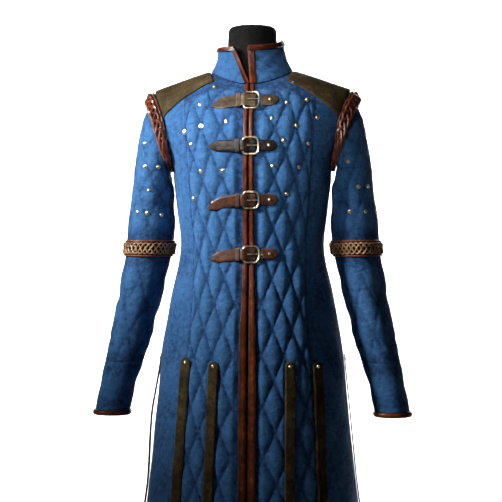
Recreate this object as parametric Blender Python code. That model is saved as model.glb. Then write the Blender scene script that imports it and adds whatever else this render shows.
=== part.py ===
"""Quilted gambeson on a limbless dress form.

The coat faces -Y and +Z is up. The origin is the middle of the stand's flat underside.
The wearer's right is -X. Every cloth piece is a wall over one body surface, or over one
sleeve surface, so pieces that lie on a panel are made from that panel's own points.
"""

import math

import bpy
from mathutils import Vector

# Driving dimensions of the coat, in metres.
HEM_Z = 0.300
ARMPIT_Z = 1.165
NECK_POINT_X = 0.084
SHOULDER_Z = 1.357
SHOULDER_SLOPE = 0.347
SHOULDER_BEND = 0.014
SHOULDER_ROUNDING = 0.150
SECTION_POWER = 2.3
SEAM_GAP = 0.0003
RIDGE_STOP = 0.0000002

# Cloth and leather thicknesses.
QUILT_WALL = 0.0035
QUILT_PUFF = 0.0034
PLAIN_WALL = 0.0028
SLEEVE_WALL = 0.0026
SLEEVE_PUFF = 0.0018
LEATHER = 0.0024
BRAID_RELIEF = 0.0022

# Body sections, bottom to top: height, half width, front depth, back depth.
BODY_SECTIONS = (
    dict(z=0.300, half=0.248, front=0.180, back=0.188),
    dict(z=0.465, half=0.220, front=0.163, back=0.170),
    dict(z=0.596, half=0.205, front=0.152, back=0.158),
    dict(z=0.679, half=0.197, front=0.146, back=0.152),
    dict(z=0.769, half=0.189, front=0.139, back=0.145),
    dict(z=0.829, half=0.180, front=0.131, back=0.136),
    dict(z=0.900, half=0.167, front=0.121, back=0.122),
    dict(z=0.987, half=0.149, front=0.110, back=0.106),
    dict(z=1.066, half=0.156, front=0.114, back=0.109),
    dict(z=1.126, half=0.163, front=0.121, back=0.115),
    dict(z=1.165, half=0.166, front=0.124, back=0.118),
    dict(z=1.200, half=0.184, front=0.124, back=0.119),
    dict(z=1.240, half=0.202, front=0.122, back=0.118),
    dict(z=1.290, half=0.219, front=0.119, back=0.116),
    dict(z=1.370, half=0.235, front=0.118, back=0.115),
)

# Princess seams, bottom to top: height and distance from the centre line.
PRINCESS_SEAM = (
    dict(z=0.300, x=0.158),
    dict(z=0.470, x=0.145),
    dict(z=0.630, x=0.134),
    dict(z=0.800, x=0.122),
    dict(z=0.900, x=0.115),
    dict(z=1.000, x=0.115),
    dict(z=1.126, x=0.124),
    dict(z=1.300, x=0.134),
    dict(z=1.370, x=0.134),
)

# Armhole edge of the body, armpit to shoulder tip.
ARMHOLE_EDGE = (
    dict(z=1.165, x=0.166),
    dict(z=1.180, x=0.167),
    dict(z=1.200, x=0.169),
    dict(z=1.240, x=0.174),
    dict(z=1.280, x=0.186),
    dict(z=1.316, x=0.203),
)

# Lower edge of the leather yoke: distance from the centre line, and drop below the ridge.
YOKE_EDGE = (
    dict(x=0.0725, drop=0.026),
    dict(x=0.1270, drop=0.042),
    dict(x=0.1520, drop=0.052),
    dict(x=0.1735, drop=0.064),
    dict(x=0.1800, drop=0.074),
)
YOKE_NECK = dict(low=0.0755, ridge=0.0890)
YOKE_LIFT = 0.0013
YOKE_EDGE_INSET = 0.0008

# Sleeve sections below the armhole: height, centre, half width, half depth.
SLEEVE_SECTIONS = (
    dict(z=1.100, x=0.2078, y=0.000, half=0.044, deep=0.056),
    dict(z=1.020, x=0.2125, y=-0.002, half=0.049, deep=0.053),
    dict(z=0.981, x=0.2165, y=-0.003, half=0.048, deep=0.051),
    dict(z=0.894, x=0.2335, y=-0.008, half=0.046, deep=0.048),
    dict(z=0.825, x=0.2485, y=-0.014, half=0.043, deep=0.045),
    dict(z=0.765, x=0.2635, y=-0.020, half=0.040, deep=0.041),
    dict(z=0.708, x=0.2780, y=-0.026, half=0.037, deep=0.038),
    dict(z=0.648, x=0.2895, y=-0.032, half=0.036, deep=0.036),
)
SLEEVE_CAP_SHARE = 0.34
# How the sleeve leaves the armhole: at its front and back, then what the top and underside add.
SLEEVE_HEAD = dict(outward=(0.60, 0.125, -0.225), downward=(0.60, 0.025, 0.175))
SLEEVE_SEAM = -0.0006
SLEEVE_START_SHARE = 0.0042
SLEEVE_GAP_SHARE = 0.0006
ARMPIT_ROOM = 0.0085
BAND_LIFT = 0.0013
ARM_BAND = dict(low=0.974, high=1.007)
ARMHOLE_BAND = dict(start=0.0026, width=0.033, under=0.017, lift=0.0031)
SLEEVE_JOIN_Z = 0.990
CUFF_SEAM_Z = 0.758
CUFF_BINDING_Z = 0.659
CUFF_BINDING_WALL = dict(out=0.0036, inward=0.0028, crown=0.0008)
SLEEVE_END_Z = 0.648

# Sleeve creases: height, side of the arm in degrees, length along the arm, depth.
SLEEVE_CREASES = (
    dict(z=1.075, at=150, reach=0.016, depth=0.0030),
    dict(z=0.930, at=200, reach=0.018, depth=0.0040),
    dict(z=0.895, at=30, reach=0.015, depth=0.0030),
    dict(z=0.845, at=190, reach=0.017, depth=0.0036),
    dict(z=0.800, at=60, reach=0.014, depth=0.0026),
)

# Quilting: diamonds are four columns wide and four rows high.
QUILT_END = dict(flat=0.012, fade=0.020)
QUILT_SHIFT = 3
FRONT_EDGE_X = 0.0008
FRONT_COLUMNS = 12
BACK_COLUMNS = 10
SIDE_COLUMNS = 3
SKIRT_ROWS = 36
SHOULDER_ROWS = 7
SLEEVE_COLUMNS = 24

# Collar: rim sizes and how far each front corner opens from the centre line.
COLLAR = dict(half=0.066, shift=-0.004, front=0.060, back=0.058, back_z=1.412)
COLLAR_SIDE_Z = {-1: 1.402, 1: 1.417}
COLLAR_FRONT_Z = {-1: 1.397, 1: 1.398}
COLLAR_OPEN = {-1: 0.028, 1: -0.001}
COLLAR_BASE_OPEN = 0.0012
COLLAR_SEAM = 0.0014
COLLAR_WAIST = 0.0045
COLLAR_HALF_WALL = 0.0016
COLLAR_BINDING = dict(reach=(0.0006, 0.0030, 0.0058), half_wall=(0.0026, 0.0030, 0.0014))
NECKLINE = dict(front_z=1.322, back_z=1.332, side_z=1.3535)
BINDING_LIFT = 0.0010
BINDING_EDGE_X = 0.0010
BINDING_TOP_GAP = 0.002
BINDING_CROWN = (0.0012, 0.0024, 0.0024, 0.0012)
BINDING_CLIMB = dict(from_width=0.0105, over=0.004, height=0.0014)
BINDING_WIDTH = (
    dict(z=0.300, w=0.0160),
    dict(z=0.800, w=0.0160),
    dict(z=0.880, w=0.0130),
    dict(z=1.030, w=0.0105),
    dict(z=1.200, w=0.0095),
    dict(z=1.400, w=0.0095),
)

# Straps, top to bottom: height, tip, chape end, slope, how the tip droops, and how high
# strap and chape lie.
STRAPS = (
    dict(name="strap_1", z=1.2845, tip=-0.074, chape=0.058, tilt=-0.020, droop=3.4, lift=0.0038,
         low=0.0038),
    dict(name="strap_2", z=1.1940, tip=-0.079, chape=0.056, tilt=-0.010, droop=0.0, lift=0.0037,
         low=0.0037),
    dict(name="strap_3", z=1.0870, tip=-0.081, chape=0.056, tilt=-0.022, droop=3.9, lift=0.0044,
         low=0.0035),
    dict(name="strap_4", z=0.9780, tip=-0.077, chape=0.056, tilt=-0.020, droop=2.5, lift=0.0046,
         low=0.0037),
)
STRAP_HALF_WIDTH = 0.0117
BUCKLE = dict(left=-0.010, right=0.021, half=0.0165, wire=0.0019)
STRAP_ARCH = dict(height=0.0047, reach=0.0085)
PRONG = dict(start=-0.002, wire=0.0013)
STRAP_END = 0.013
DROOP_START = -0.020
STRAP_POINT = ((0.0, 0.14), (0.007, 0.48), (0.015, 0.80), (0.023, 1.0), (0.034, 1.0))
CHAPE_NARROWING = 0.93
CHAPE_WALL = 0.0034
CHAPE_START = 0.0245
KEEPER = dict(x=-0.021, half=0.0035, wall=0.0016, room=0.0006, over=0.0009, drop=0.0004)

# Lappets: place of the top and of the foot, height of the top, and how high each lies.
LAPPETS = (
    dict(name="lappet_outer_right", top_x=-0.124, foot_x=-0.152, top_z=0.772, lift=0.0026),
    dict(name="lappet_inner_right", top_x=-0.067, foot_x=-0.082, top_z=0.766, lift=0.0039),
    dict(name="lappet_inner_left", top_x=0.083, foot_x=0.083, top_z=0.766, lift=0.0039),
    dict(name="lappet_outer_left", top_x=0.136, foot_x=0.152, top_z=0.764, lift=0.0026),
)
LAPPET_WIDTH = 0.0195
LAPPET_FOOT_Z = 0.345
LAPPET_TOP_ROUND = ((0.55, 0.84), (0.88, 0.48), (1.0, 0.16))
SIDE_LAPPET = dict(top_z=0.772, lift=0.0007, top_share=0.7, edge_drop=0.0004)
# How far each side lappet swings off the skirt near its top, and how it settles lower down.
SIDE_SWING = {-1: 0.0095, 1: 0.0012}
SIDE_SETTLE = dict(share=0.65, start=0.30, length=0.35, quickness=3.2)

# Dress form.
FORM = dict(bottom_z=0.720, widest=0.156)
FORM_CLEARANCE = 0.009
FORM_SEAT = dict(x=0.100, gap=0.0009, below=0.030, fade=0.012, neck_room=0.004)
NECK_PROFILE = ((0.0535, 1.290), (0.0525, 1.345), (0.0495, 1.368), (0.0495, 1.413))
CAP_PROFILE = ((0.0495, 1.4133), (0.0505, 1.4173), (0.0505, 1.439), (0.0480, 1.447),
               (0.0404, 1.451), (0.0151, 1.453))
STAND_PROFILE = ((0.170, 0.000), (0.170, 0.012), (0.164, 0.017), (0.050, 0.022), (0.026, 0.030),
                 (0.016, 0.052), (0.016, 0.6997), (0.030, 0.7097), (0.030, 0.7197))

# Colours as red, green, blue, then roughness and metallic value.
LOOKS = {
    "linen": (0.035, 0.105, 0.260, 0.85, 0.0),
    "red_leather": (0.120, 0.030, 0.014, 0.35, 0.0),
    "olive_leather": (0.085, 0.062, 0.036, 0.65, 0.0),
    "strap_leather": (0.070, 0.034, 0.020, 0.40, 0.0),
    "brass": (0.560, 0.400, 0.170, 0.35, 1.0),
    "form_cloth": (0.020, 0.020, 0.022, 0.90, 0.0),
    "stand_paint": (0.015, 0.015, 0.016, 0.45, 0.0),
}


def clear_scene():
    for thing in list(bpy.data.objects):
        bpy.data.objects.remove(thing, do_unlink=True)


def table_value(rows, key, at, by="z"):
    """Reads a column of a table at a place in another column, with smooth steps between rows."""
    points = sorted((row[by], row[key]) for row in rows)
    if at <= points[0][0]:
        return points[0][1]
    if at >= points[-1][0]:
        return points[-1][1]
    slopes = []
    for i in range(len(points)):
        before, after = points[max(0, i - 1)], points[min(len(points) - 1, i + 1)]
        slopes.append((after[1] - before[1]) / (after[0] - before[0]))
    i = max(k for k in range(len(points) - 1) if points[k][0] <= at)
    (start, low), (end, high) = points[i], points[i + 1]
    span = end - start
    t = (at - start) / span
    return ((2 * t**3 - 3 * t**2 + 1) * low + (t**3 - 2 * t**2 + t) * span * slopes[i]
            + (3 * t**2 - 2 * t**3) * high + (t**3 - t**2) * span * slopes[i + 1])


def shoulder_height(x):
    """Height of the shoulder ridge at a distance from the centre line."""
    past = abs(x) - NECK_POINT_X
    return SHOULDER_Z - SHOULDER_SLOPE * (math.hypot(past, SHOULDER_BEND) + past) / 2


def shoulder_fall(x):
    """Slope of the ridge at a distance from the centre line."""
    past = abs(x) - NECK_POINT_X
    return SHOULDER_SLOPE * (1 + past / math.hypot(past, SHOULDER_BEND)) / 2


def closing(x, z):
    """How much of the full depth is left at this height, from 1 on the chest to 0 on the ridge."""
    below = shoulder_height(x) - z
    if below >= SHOULDER_ROUNDING:
        return 1.0
    t = max(0.0, 1.0 - below / SHOULDER_ROUNDING)
    return math.sqrt(max(0.0, 1.0 - t * t))


def body_point(x, z, face):
    """A point of the coat's outer surface. face is -1 for the front and 1 for the back."""
    half = table_value(BODY_SECTIONS, "half", z)
    depth = table_value(BODY_SECTIONS, "front" if face < 0 else "back", z)
    share = min(1.0, abs(x) / half)
    roundness = max(0.0, 1.0 - share**SECTION_POWER) ** (1.0 / SECTION_POWER)
    return Vector((x, face * depth * roundness * closing(x, z), z))


def body_angle_point(angle, z, side, face):
    """The same surface by section angle: 0 at the centre line and 90 degrees at the side."""
    half = table_value(BODY_SECTIONS, "half", z)
    x = half * math.sin(angle) ** (2.0 / SECTION_POWER)
    return body_point(side * x, z, face)


def body_normal(x, z, face):
    """Outward unit normal of the coat's surface at a point of it."""
    step = 0.0005
    key = "front" if face < 0 else "back"
    half, depth = table_value(BODY_SECTIONS, "half", z), table_value(BODY_SECTIONS, key, z)
    half_rate = (table_value(BODY_SECTIONS, "half", z + step)
                 - table_value(BODY_SECTIONS, "half", z - step)) / (2 * step)
    depth_rate = (table_value(BODY_SECTIONS, key, z + step)
                  - table_value(BODY_SECTIONS, key, z - step)) / (2 * step)
    side = 1.0 if x >= 0 else -1.0
    share = min(1.0, abs(x) / half)
    left = max(1e-9, 1.0 - share**SECTION_POWER)
    round_part = left ** (2.0 / SECTION_POWER)
    round_rate = 2.0 * left ** (2.0 / SECTION_POWER - 1.0) * share ** (SECTION_POWER - 1.0)
    t = max(0.0, 1.0 - (shoulder_height(x) - z) / SHOULDER_ROUNDING)
    open_part = max(0.0, 1.0 - t * t)
    y = body_point(x, z, face).y
    normal = Vector((
        side * (open_part * round_rate / half + round_part * 2 * t * shoulder_fall(x) / SHOULDER_ROUNDING),
        2.0 * y / depth**2,
        -2.0 * y * y / depth**3 * depth_rate - open_part * round_rate * share / half * half_rate
        + round_part * 2.0 * t / SHOULDER_ROUNDING))
    return normal.normalized()


def body_normals(grid, face):
    return [[body_normal(p.x, p.z, face if p.y == 0 else math.copysign(1, p.y)) for p in line]
            for line in grid]


def section_angle(x, z):
    """The section angle at a distance from the centre line."""
    half = table_value(BODY_SECTIONS, "half", z)
    return math.asin(min(1.0, abs(x) / half) ** (SECTION_POWER / 2.0))


def neckline_height(x, face):
    low = NECKLINE["front_z"] if face < 0 else NECKLINE["back_z"]
    share = min(1.0, abs(x) / NECK_POINT_X)
    return low + (NECKLINE["side_z"] - low) * share**2


def top_height(x, face):
    """Where a panel ends: on the neckline near the neck, else just short of the ridge."""
    ridge = shoulder_height(x)
    if abs(x) < NECK_POINT_X:
        return min(neckline_height(x, face), ridge - RIDGE_STOP)
    return ridge - RIDGE_STOP


def row_height(x, face, low, rows, shoulder_rows, j):
    """Height of a column's row. The top rows follow the shoulder's round by equal angles."""
    spring = shoulder_height(x) - SHOULDER_ROUNDING
    if j <= rows:
        return low + (spring - low) * j / rows
    top_angle = math.asin(min(1.0, (top_height(x, face) - spring) / SHOULDER_ROUNDING))
    return spring + SHOULDER_ROUNDING * math.sin(top_angle * (j - rows) / shoulder_rows)


def row_heights(x, face, low, rows, shoulder_rows):
    """Heights of all the rows at one distance from the centre line."""
    return [row_height(x, face, low, rows, shoulder_rows, j)
            for j in range(rows + shoulder_rows + 1)]


def grid_normals(grid, outward, wrap=False):
    """Unit normals of a grid of points, turned to the outside."""
    rows, columns = len(grid), len(grid[0])
    normals = []
    for j in range(rows):
        line = []
        for i in range(columns):
            if wrap:
                along = grid[j][(i + 1) % columns] - grid[j][i - 1]
            else:
                along = grid[j][min(columns - 1, i + 1)] - grid[j][max(0, i - 1)]
            up = grid[min(rows - 1, j + 1)][i] - grid[max(0, j - 1)][i]
            normal = along.cross(up)
            if normal.length < 1e-12:
                normal = outward(grid[j][i])
            normal.normalize()
            if normal.dot(outward(grid[j][i])) < 0:
                normal.negate()
            line.append(normal)
        normals.append(line)
    return normals


def moved_out(grid, normals, amount):
    """The grid moved along its normals; amount gives the distance at a row and a column."""
    return [[point + normals[j][i] * amount(j, i) for i, point in enumerate(line)]
            for j, line in enumerate(grid)]


def add_quads(faces, grid_index, rows, columns, wrap, flip, quilted):
    """Faces of one side of a wall. On quilting the diagonals lie in the grooves.

    quilted is the row shift of the quilting, or None on a plain wall."""
    last = columns if wrap else columns - 1
    for j in range(rows - 1):
        for i in range(last):
            a = grid_index(j, i)
            b = grid_index(j, (i + 1) % columns)
            c = grid_index(j + 1, (i + 1) % columns)
            d = grid_index(j + 1, i)
            if quilted is not None and (i + j + quilted) % 2 == 1:
                pair = ((a, b, d), (b, c, d))
            else:
                pair = ((a, b, c), (a, c, d))
            for face in pair:
                faces.append(face[::-1] if flip else face)


def thinned(count, step):
    """Every step-th index, with the last one kept."""
    picks = list(range(0, count, step))
    if picks[-1] != count - 1:
        picks.append(count - 1)
    return picks


def body_rows():
    """Rows that an inner wall keeps: every second one on the skirt, all on the shoulder."""
    return (list(range(0, SKIRT_ROWS - 1, 2))
            + list(range(SKIRT_ROWS - 1, SKIRT_ROWS + SHOULDER_ROWS + 1)))


def wall_object(name, outer, inner, look, wrap=False, steps=(1, 1), quilted=None,
                row_picks=None, column_picks=None):
    """A closed wall between an outer grid and a coarser inner grid, joined round its rim."""
    rows, columns = len(outer), len(outer[0])
    row_picks = row_picks or thinned(rows, steps[0])
    if not column_picks:
        column_picks = list(range(0, columns, steps[1])) if wrap else thinned(columns, steps[1])
    points = [p for line in outer for p in line]
    base = len(points)
    points += [inner[j][i] for j in row_picks for i in column_picks]
    faces = []
    add_quads(faces, lambda j, i: j * columns + i, rows, columns, wrap, False, quilted)
    width = len(column_picks)
    add_quads(faces, lambda j, i: base + j * width + i, len(row_picks), width, wrap, True, None)

    def strip(outer_ids, inner_ids, picks):
        """Rim faces: each inner edge meets the outer points between its two ends."""
        for k in range(len(inner_ids) - 1):
            start, end = picks[k], picks[k + 1]
            middle = (start + end) // 2
            for m in range(start, end):
                apex = inner_ids[k] if m < middle or end - start == 1 else inner_ids[k + 1]
                faces.append((outer_ids[m + 1], outer_ids[m], apex))
            turn = end if end - start == 1 else middle
            faces.append((outer_ids[turn], inner_ids[k], inner_ids[k + 1]))

    def edge(j_fixed=None, i_fixed=None):
        if j_fixed is not None:
            outer_ids = [j_fixed * columns + i for i in range(columns)]
            inner_ids = [base + (0 if j_fixed == 0 else len(row_picks) - 1) * width + k
                         for k in range(width)]
            picks = list(column_picks)
            if wrap:
                outer_ids.append(outer_ids[0])
                inner_ids.append(inner_ids[0])
                picks.append(columns)
            return outer_ids, inner_ids, picks
        outer_ids = [j * columns + i_fixed for j in range(rows)]
        inner_ids = [base + k * width + (0 if i_fixed == 0 else width - 1)
                     for k in range(len(row_picks))]
        return outer_ids, inner_ids, list(row_picks)

    strip(*edge(j_fixed=0))
    bottom_end = len(faces)
    strip(*edge(j_fixed=rows - 1))
    for k in range(bottom_end, len(faces)):
        faces[k] = faces[k][::-1]
    if not wrap:
        left_start = len(faces)
        strip(*edge(i_fixed=0))
        for k in range(left_start, len(faces)):
            faces[k] = faces[k][::-1]
        strip(*edge(i_fixed=columns - 1))
    faces = [face for face in faces if len(set(face)) == 3]
    return mesh_object(name, points, faces, look)


def mesh_object(name, points, faces, look):
    """An object from points and faces, with its faces turned outward."""
    mesh = bpy.data.meshes.new(name)
    mesh.from_pydata([tuple(p) for p in points], [], faces)
    mesh.validate()
    volume = 0.0
    for face in mesh.polygons:
        corners = [mesh.vertices[v].co for v in face.vertices]
        for k in range(1, len(corners) - 1):
            volume += corners[0].dot(corners[k].cross(corners[k + 1]))
    if volume < 0:
        mesh.flip_normals()
    mesh.shade_smooth()
    mesh.set_sharp_from_angle(angle=math.radians(40))
    mesh.materials.append(look_material(look))
    thing = bpy.data.objects.new(name, mesh)
    bpy.context.scene.collection.objects.link(thing)
    return thing


def look_material(look):
    material = bpy.data.materials.get(look)
    if material:
        return material
    red, green, blue, rough, metal = LOOKS[look]
    material = bpy.data.materials.new(look)
    material.use_nodes = True
    shader = material.node_tree.nodes["Principled BSDF"]
    shader.inputs["Base Color"].default_value = (red, green, blue, 1.0)
    shader.inputs["Roughness"].default_value = rough
    shader.inputs["Metallic"].default_value = metal
    return material


def side_name(side):
    return "right" if side < 0 else "left"


def quilt_height(j, i):
    """Quilting relief from 0 in a groove to 1 in a diamond's middle."""
    both = abs(math.sin(math.pi * (i + j) / 4.0) * math.sin(math.pi * (i - j) / 4.0))
    return both**0.6 if both > 1e-9 else 0.0


def smooth_share(value):
    value = max(0.0, min(1.0, value))
    return value * value * (3.0 - 2.0 * value)


def yoke_edge_height(x, face):
    """Lower edge of the leather yoke: a curve that drops from the neck to the armhole."""
    return shoulder_height(x) - table_value(YOKE_EDGE, "drop", abs(x), by="x")


def panel_point(edge_x, share, j, side, face):
    """A point of a quilted panel: its share of the way to the princess seam, and its row."""
    x = edge_x + (table_value(PRINCESS_SEAM, "x", SHOULDER_Z) - edge_x) * share
    for _ in range(6):
        z = row_height(x, face, HEM_Z, SKIRT_ROWS, SHOULDER_ROWS, j)
        seam_x = table_value(PRINCESS_SEAM, "x", z) - SEAM_GAP / 2
        start, end = section_angle(edge_x, z), section_angle(seam_x, z)
        half = table_value(BODY_SECTIONS, "half", z)
        x = half * math.sin(start + (end - start) * share) ** (2.0 / SECTION_POWER)
    z = row_height(x, face, HEM_Z, SKIRT_ROWS, SHOULDER_ROWS, j)
    return body_point(side * x, z, face)


def quilted_panel(side, face):
    """One front or back panel, from its centre edge to its princess seam."""
    columns = FRONT_COLUMNS if face < 0 else BACK_COLUMNS
    edge_x = FRONT_EDGE_X if face < 0 else SEAM_GAP / 2
    grid = []
    for j in range(SKIRT_ROWS + SHOULDER_ROWS + 1):
        line = []
        for i in range(columns + 1):
            point = panel_point(edge_x, i / columns, j, side, face)
            line.append(point)
        grid.append(line)
    normals = body_normals(grid, face)
    rows = len(grid)
    flat_columns = (0, 1, columns) if face < 0 else (0, columns)

    def relief(j, i):
        point = grid[j][i]
        if i in flat_columns or j in (0, rows - 1):
            return 0.0
        below_yoke = yoke_edge_height(point.x, face) - point.z
        full = smooth_share((below_yoke - QUILT_END["flat"]) / QUILT_END["fade"])
        return QUILT_PUFF * quilt_height(j + QUILT_SHIFT, i) * full

    outer = moved_out(grid, normals, relief)
    inner = moved_out(grid, normals, lambda j, i: -QUILT_WALL)
    name = ("front_panel_" if face < 0 else "back_panel_") + side_name(side)
    wall_object(name, outer, inner, "linen", quilted=QUILT_SHIFT, row_picks=body_rows(),
                column_picks=[0, 4, 6, 8, 12] if face < 0 else [0, 3, 5, 7, 10])


def side_panel(side, face):
    """The plain panel from a princess seam to the side seam and, above it, to the armhole."""
    columns = SIDE_COLUMNS
    seam_z = [panel_point(FRONT_EDGE_X, 1.0, j, side, face).z
              for j in range(SKIRT_ROWS + SHOULDER_ROWS + 1)]
    side_rows = SKIRT_ROWS - 1
    upper_rows = len(seam_z) - 1 - side_rows
    grid = []
    for j, z in enumerate(seam_z):
        line = []
        seam_x = table_value(PRINCESS_SEAM, "x", z) + SEAM_GAP / 2
        if j <= side_rows:
            rise = ARMPIT_Z - z if j == side_rows else 0.0
            for i in range(columns + 1):
                height = z + rise * i / columns
                end = math.pi / 2 - SEAM_GAP / table_value(BODY_SECTIONS, "half", height)
                start = section_angle(seam_x, height)
                angle = start + (end - start) * i / columns
                line.append(body_angle_point(angle, height, side, face))
        else:
            turn = math.pi * (j - side_rows) / upper_rows
            low, high = ARMHOLE_EDGE[0]["z"], ARMHOLE_EDGE[-1]["z"]
            edge_z = (low + high) / 2 - (high - low) / 2 * math.cos(turn)
            edge_x = table_value(ARMHOLE_EDGE, "x", edge_z)
            for i in range(columns + 1):
                share = i / columns
                x = seam_x + (edge_x - seam_x) * share
                height = min(z + (edge_z - z) * share, shoulder_height(x) - RIDGE_STOP)
                line.append(body_point(side * x, height, face))
        grid.append(line)
    normals = body_normals(grid, face)
    outer = moved_out(grid, normals, lambda j, i: 0.0)
    inner = moved_out(grid, normals, lambda j, i: -PLAIN_WALL)
    name = ("side_front_" if face < 0 else "side_back_") + side_name(side)
    wall_object(name, outer, inner, "linen", row_picks=body_rows())


def yoke_column(share, face, side, rows):
    """Points up one column of the yoke, from its lower edge to the shoulder ridge."""
    line = []
    for j in range(rows + 1):
        up = j / rows
        neck_x = YOKE_NECK["low"] + (YOKE_NECK["ridge"] - YOKE_NECK["low"]) * up
        z = SHOULDER_Z - SHOULDER_ROUNDING / 3
        for _ in range(8):
            edge_x = table_value(ARMHOLE_EDGE, "x", z) - YOKE_EDGE_INSET
            x = neck_x + (edge_x - neck_x) * share
            spring = shoulder_height(x) - SHOULDER_ROUNDING
            low = math.asin((yoke_edge_height(x, face) - spring) / SHOULDER_ROUNDING)
            z = spring + SHOULDER_ROUNDING * math.sin(low + (math.pi / 2 - low) * up)
        line.append(body_point(side * x, min(z, shoulder_height(x) - RIDGE_STOP), face))
    return line


def yoke(side):
    """The leather yoke: over the shoulder from the chest to the back, on the panels' surface."""
    columns, rows = 6, 4
    front = [yoke_column(i / columns, -1, side, rows) for i in range(columns + 1)]
    back = [yoke_column(i / columns, 1, side, rows) for i in range(columns + 1)]
    grid = [[front[i][j] for i in range(columns + 1)] for j in range(rows + 1)]
    grid += [[back[i][j] for i in range(columns + 1)] for j in range(rows - 1, -1, -1)]
    normals = body_normals(grid, -1)
    inner = moved_out(grid, normals, lambda j, i: YOKE_LIFT)
    outer = moved_out(grid, normals, lambda j, i: YOKE_LIFT + LEATHER)
    wall_object("shoulder_yoke_" + side_name(side), outer, inner, "olive_leather")


def armhole_point(turn, side):
    """A point of the armhole edge. turn is 0 at the shoulder tip, a quarter in front."""
    low, high = ARMHOLE_EDGE[0]["z"], ARMHOLE_EDGE[-1]["z"]
    z = (low + high) / 2 + (high - low) / 2 * math.cos(2 * math.pi * turn)
    x = table_value(ARMHOLE_EDGE, "x", z)
    face = -1 if turn <= 0.5 else 1
    z = min(z, shoulder_height(x) - RIDGE_STOP)
    return body_point(side * x, z, face)


def sleeve_ring_point(z, turn, side):
    half = table_value(SLEEVE_SECTIONS, "half", z)
    deep = table_value(SLEEVE_SECTIONS, "deep", z)
    angle = 2 * math.pi * turn
    return Vector((side * (table_value(SLEEVE_SECTIONS, "x", z) + half * math.cos(angle)),
                   table_value(SLEEVE_SECTIONS, "y", z) - deep * math.sin(angle), z))


def sleeve_point(share, turn, side):
    """The sleeve surface. share runs from 0 at the armhole to 1 at the wrist."""
    first = SLEEVE_SECTIONS[0]["z"]
    if share >= SLEEVE_CAP_SHARE:
        t = (share - SLEEVE_CAP_SHARE) / (1 - SLEEVE_CAP_SHARE)
        return sleeve_ring_point(first + (SLEEVE_END_Z - first) * t, turn, side)
    s = share / SLEEVE_CAP_SHARE
    out = math.cos(2 * math.pi * turn)
    start = armhole_point(turn, side)
    start.x += side * (SLEEVE_SEAM + ARMPIT_ROOM * max(0.0, -out) ** 2)
    end = sleeve_ring_point(first, turn, side)
    reach = (end - start).length
    outward, downward = (a + b * out + c * out * out for a, b, c in
                         (SLEEVE_HEAD["outward"], SLEEVE_HEAD["downward"]))
    leave = Vector((side * outward, 0.0, -downward)) * reach
    arrive = (sleeve_ring_point(first - 0.02, turn, side) - end).normalized() * reach
    return (start * (2 * s**3 - 3 * s**2 + 1) + end * (3 * s**2 - 2 * s**3)
            + leave * (s**3 - 2 * s**2 + s) + arrive * (s**3 - s**2))


def share_at(z):
    """The sleeve share at a height below the cap."""
    first = SLEEVE_SECTIONS[0]["z"]
    return SLEEVE_CAP_SHARE + (1 - SLEEVE_CAP_SHARE) * (first - z) / (first - SLEEVE_END_Z)


def crease_depth(point, turn):
    """Soft cross folds on the sleeve, deepest on their own side of the arm."""
    total = 0.0
    for crease in SLEEVE_CREASES:
        away = (point.z - crease["z"]) / crease["reach"]
        facing = math.cos(2 * math.pi * turn - math.radians(crease["at"]))
        total += crease["depth"] * math.exp(-away * away) * max(0.0, facing) ** 1.5
    return total


def cap_length(turn, side):
    """Length of sleeve that one unit of share stands for on the cap."""
    start = armhole_point(turn, side)
    return (sleeve_ring_point(SLEEVE_SECTIONS[0]["z"], turn, side) - start).length / SLEEVE_CAP_SHARE


def band_shares(turn, side):
    """Start and end of the armhole band: even in width, and narrower under the arm."""
    below = max(0.0, -math.cos(2 * math.pi * turn)) ** 2
    width = ARMHOLE_BAND["width"] + (ARMHOLE_BAND["under"] - ARMHOLE_BAND["width"]) * below
    length = cap_length(turn, side)
    return ARMHOLE_BAND["start"] / length, (ARMHOLE_BAND["start"] + width) / length


def sleeve_grid(side, start, end, rows, columns):
    """Rows round the arm between two shares, or between the armhole band's edges."""
    grid = []
    for j in range(rows + 1):
        line = []
        for i in range(columns):
            low, high = (start, end) if start is not None else band_shares(i / columns, side)
            line.append(sleeve_point(low + (high - low) * j / rows, i / columns, side))
        grid.append(line)
    return grid


def from_arm(side):
    """Outward direction on a sleeve, away from the arm's own line."""
    def outward(point):
        z = min(point.z, SLEEVE_SECTIONS[0]["z"])
        line_x = side * table_value(SLEEVE_SECTIONS, "x", z)
        if point.z > SLEEVE_SECTIONS[0]["z"]:
            line_x -= side * 0.25 * (point.z - SLEEVE_SECTIONS[0]["z"])
        lift = max(0.0, point.z - 1.20) * 0.8
        return Vector((point.x - line_x, point.y - table_value(SLEEVE_SECTIONS, "y", z), lift))
    return outward


def tube_wall(name, side, start, end, rows, columns, look, thick, relief, lift=0.0,
              steps=(1, 1), quilted=None):
    """A closed wall round the arm between two shares of the sleeve's length."""
    grid = sleeve_grid(side, start, end, rows, columns)
    normals = grid_normals(grid, from_arm(side), wrap=True)

    def fold(j, i):
        return crease_depth(grid[j][i], i / columns)

    outer = moved_out(grid, normals, lambda j, i: lift + thick + relief(j, i) - fold(j, i))
    inner = moved_out(grid, normals, lambda j, i: lift - fold(j, i))
    wall_object(name, outer, inner, look, wrap=True, steps=steps, quilted=quilted)


def braid_relief(columns, rows, strands):
    """Relief of a plaited band: crossing cords, flat at both edges."""
    def relief(j, i):
        if j in (0, rows):
            return 0.0
        wave = math.sin(2 * math.pi * i * strands / columns + (math.pi if j % 2 else 0.0))
        return BRAID_RELIEF * (0.55 + 0.45 * wave)
    return relief


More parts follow.
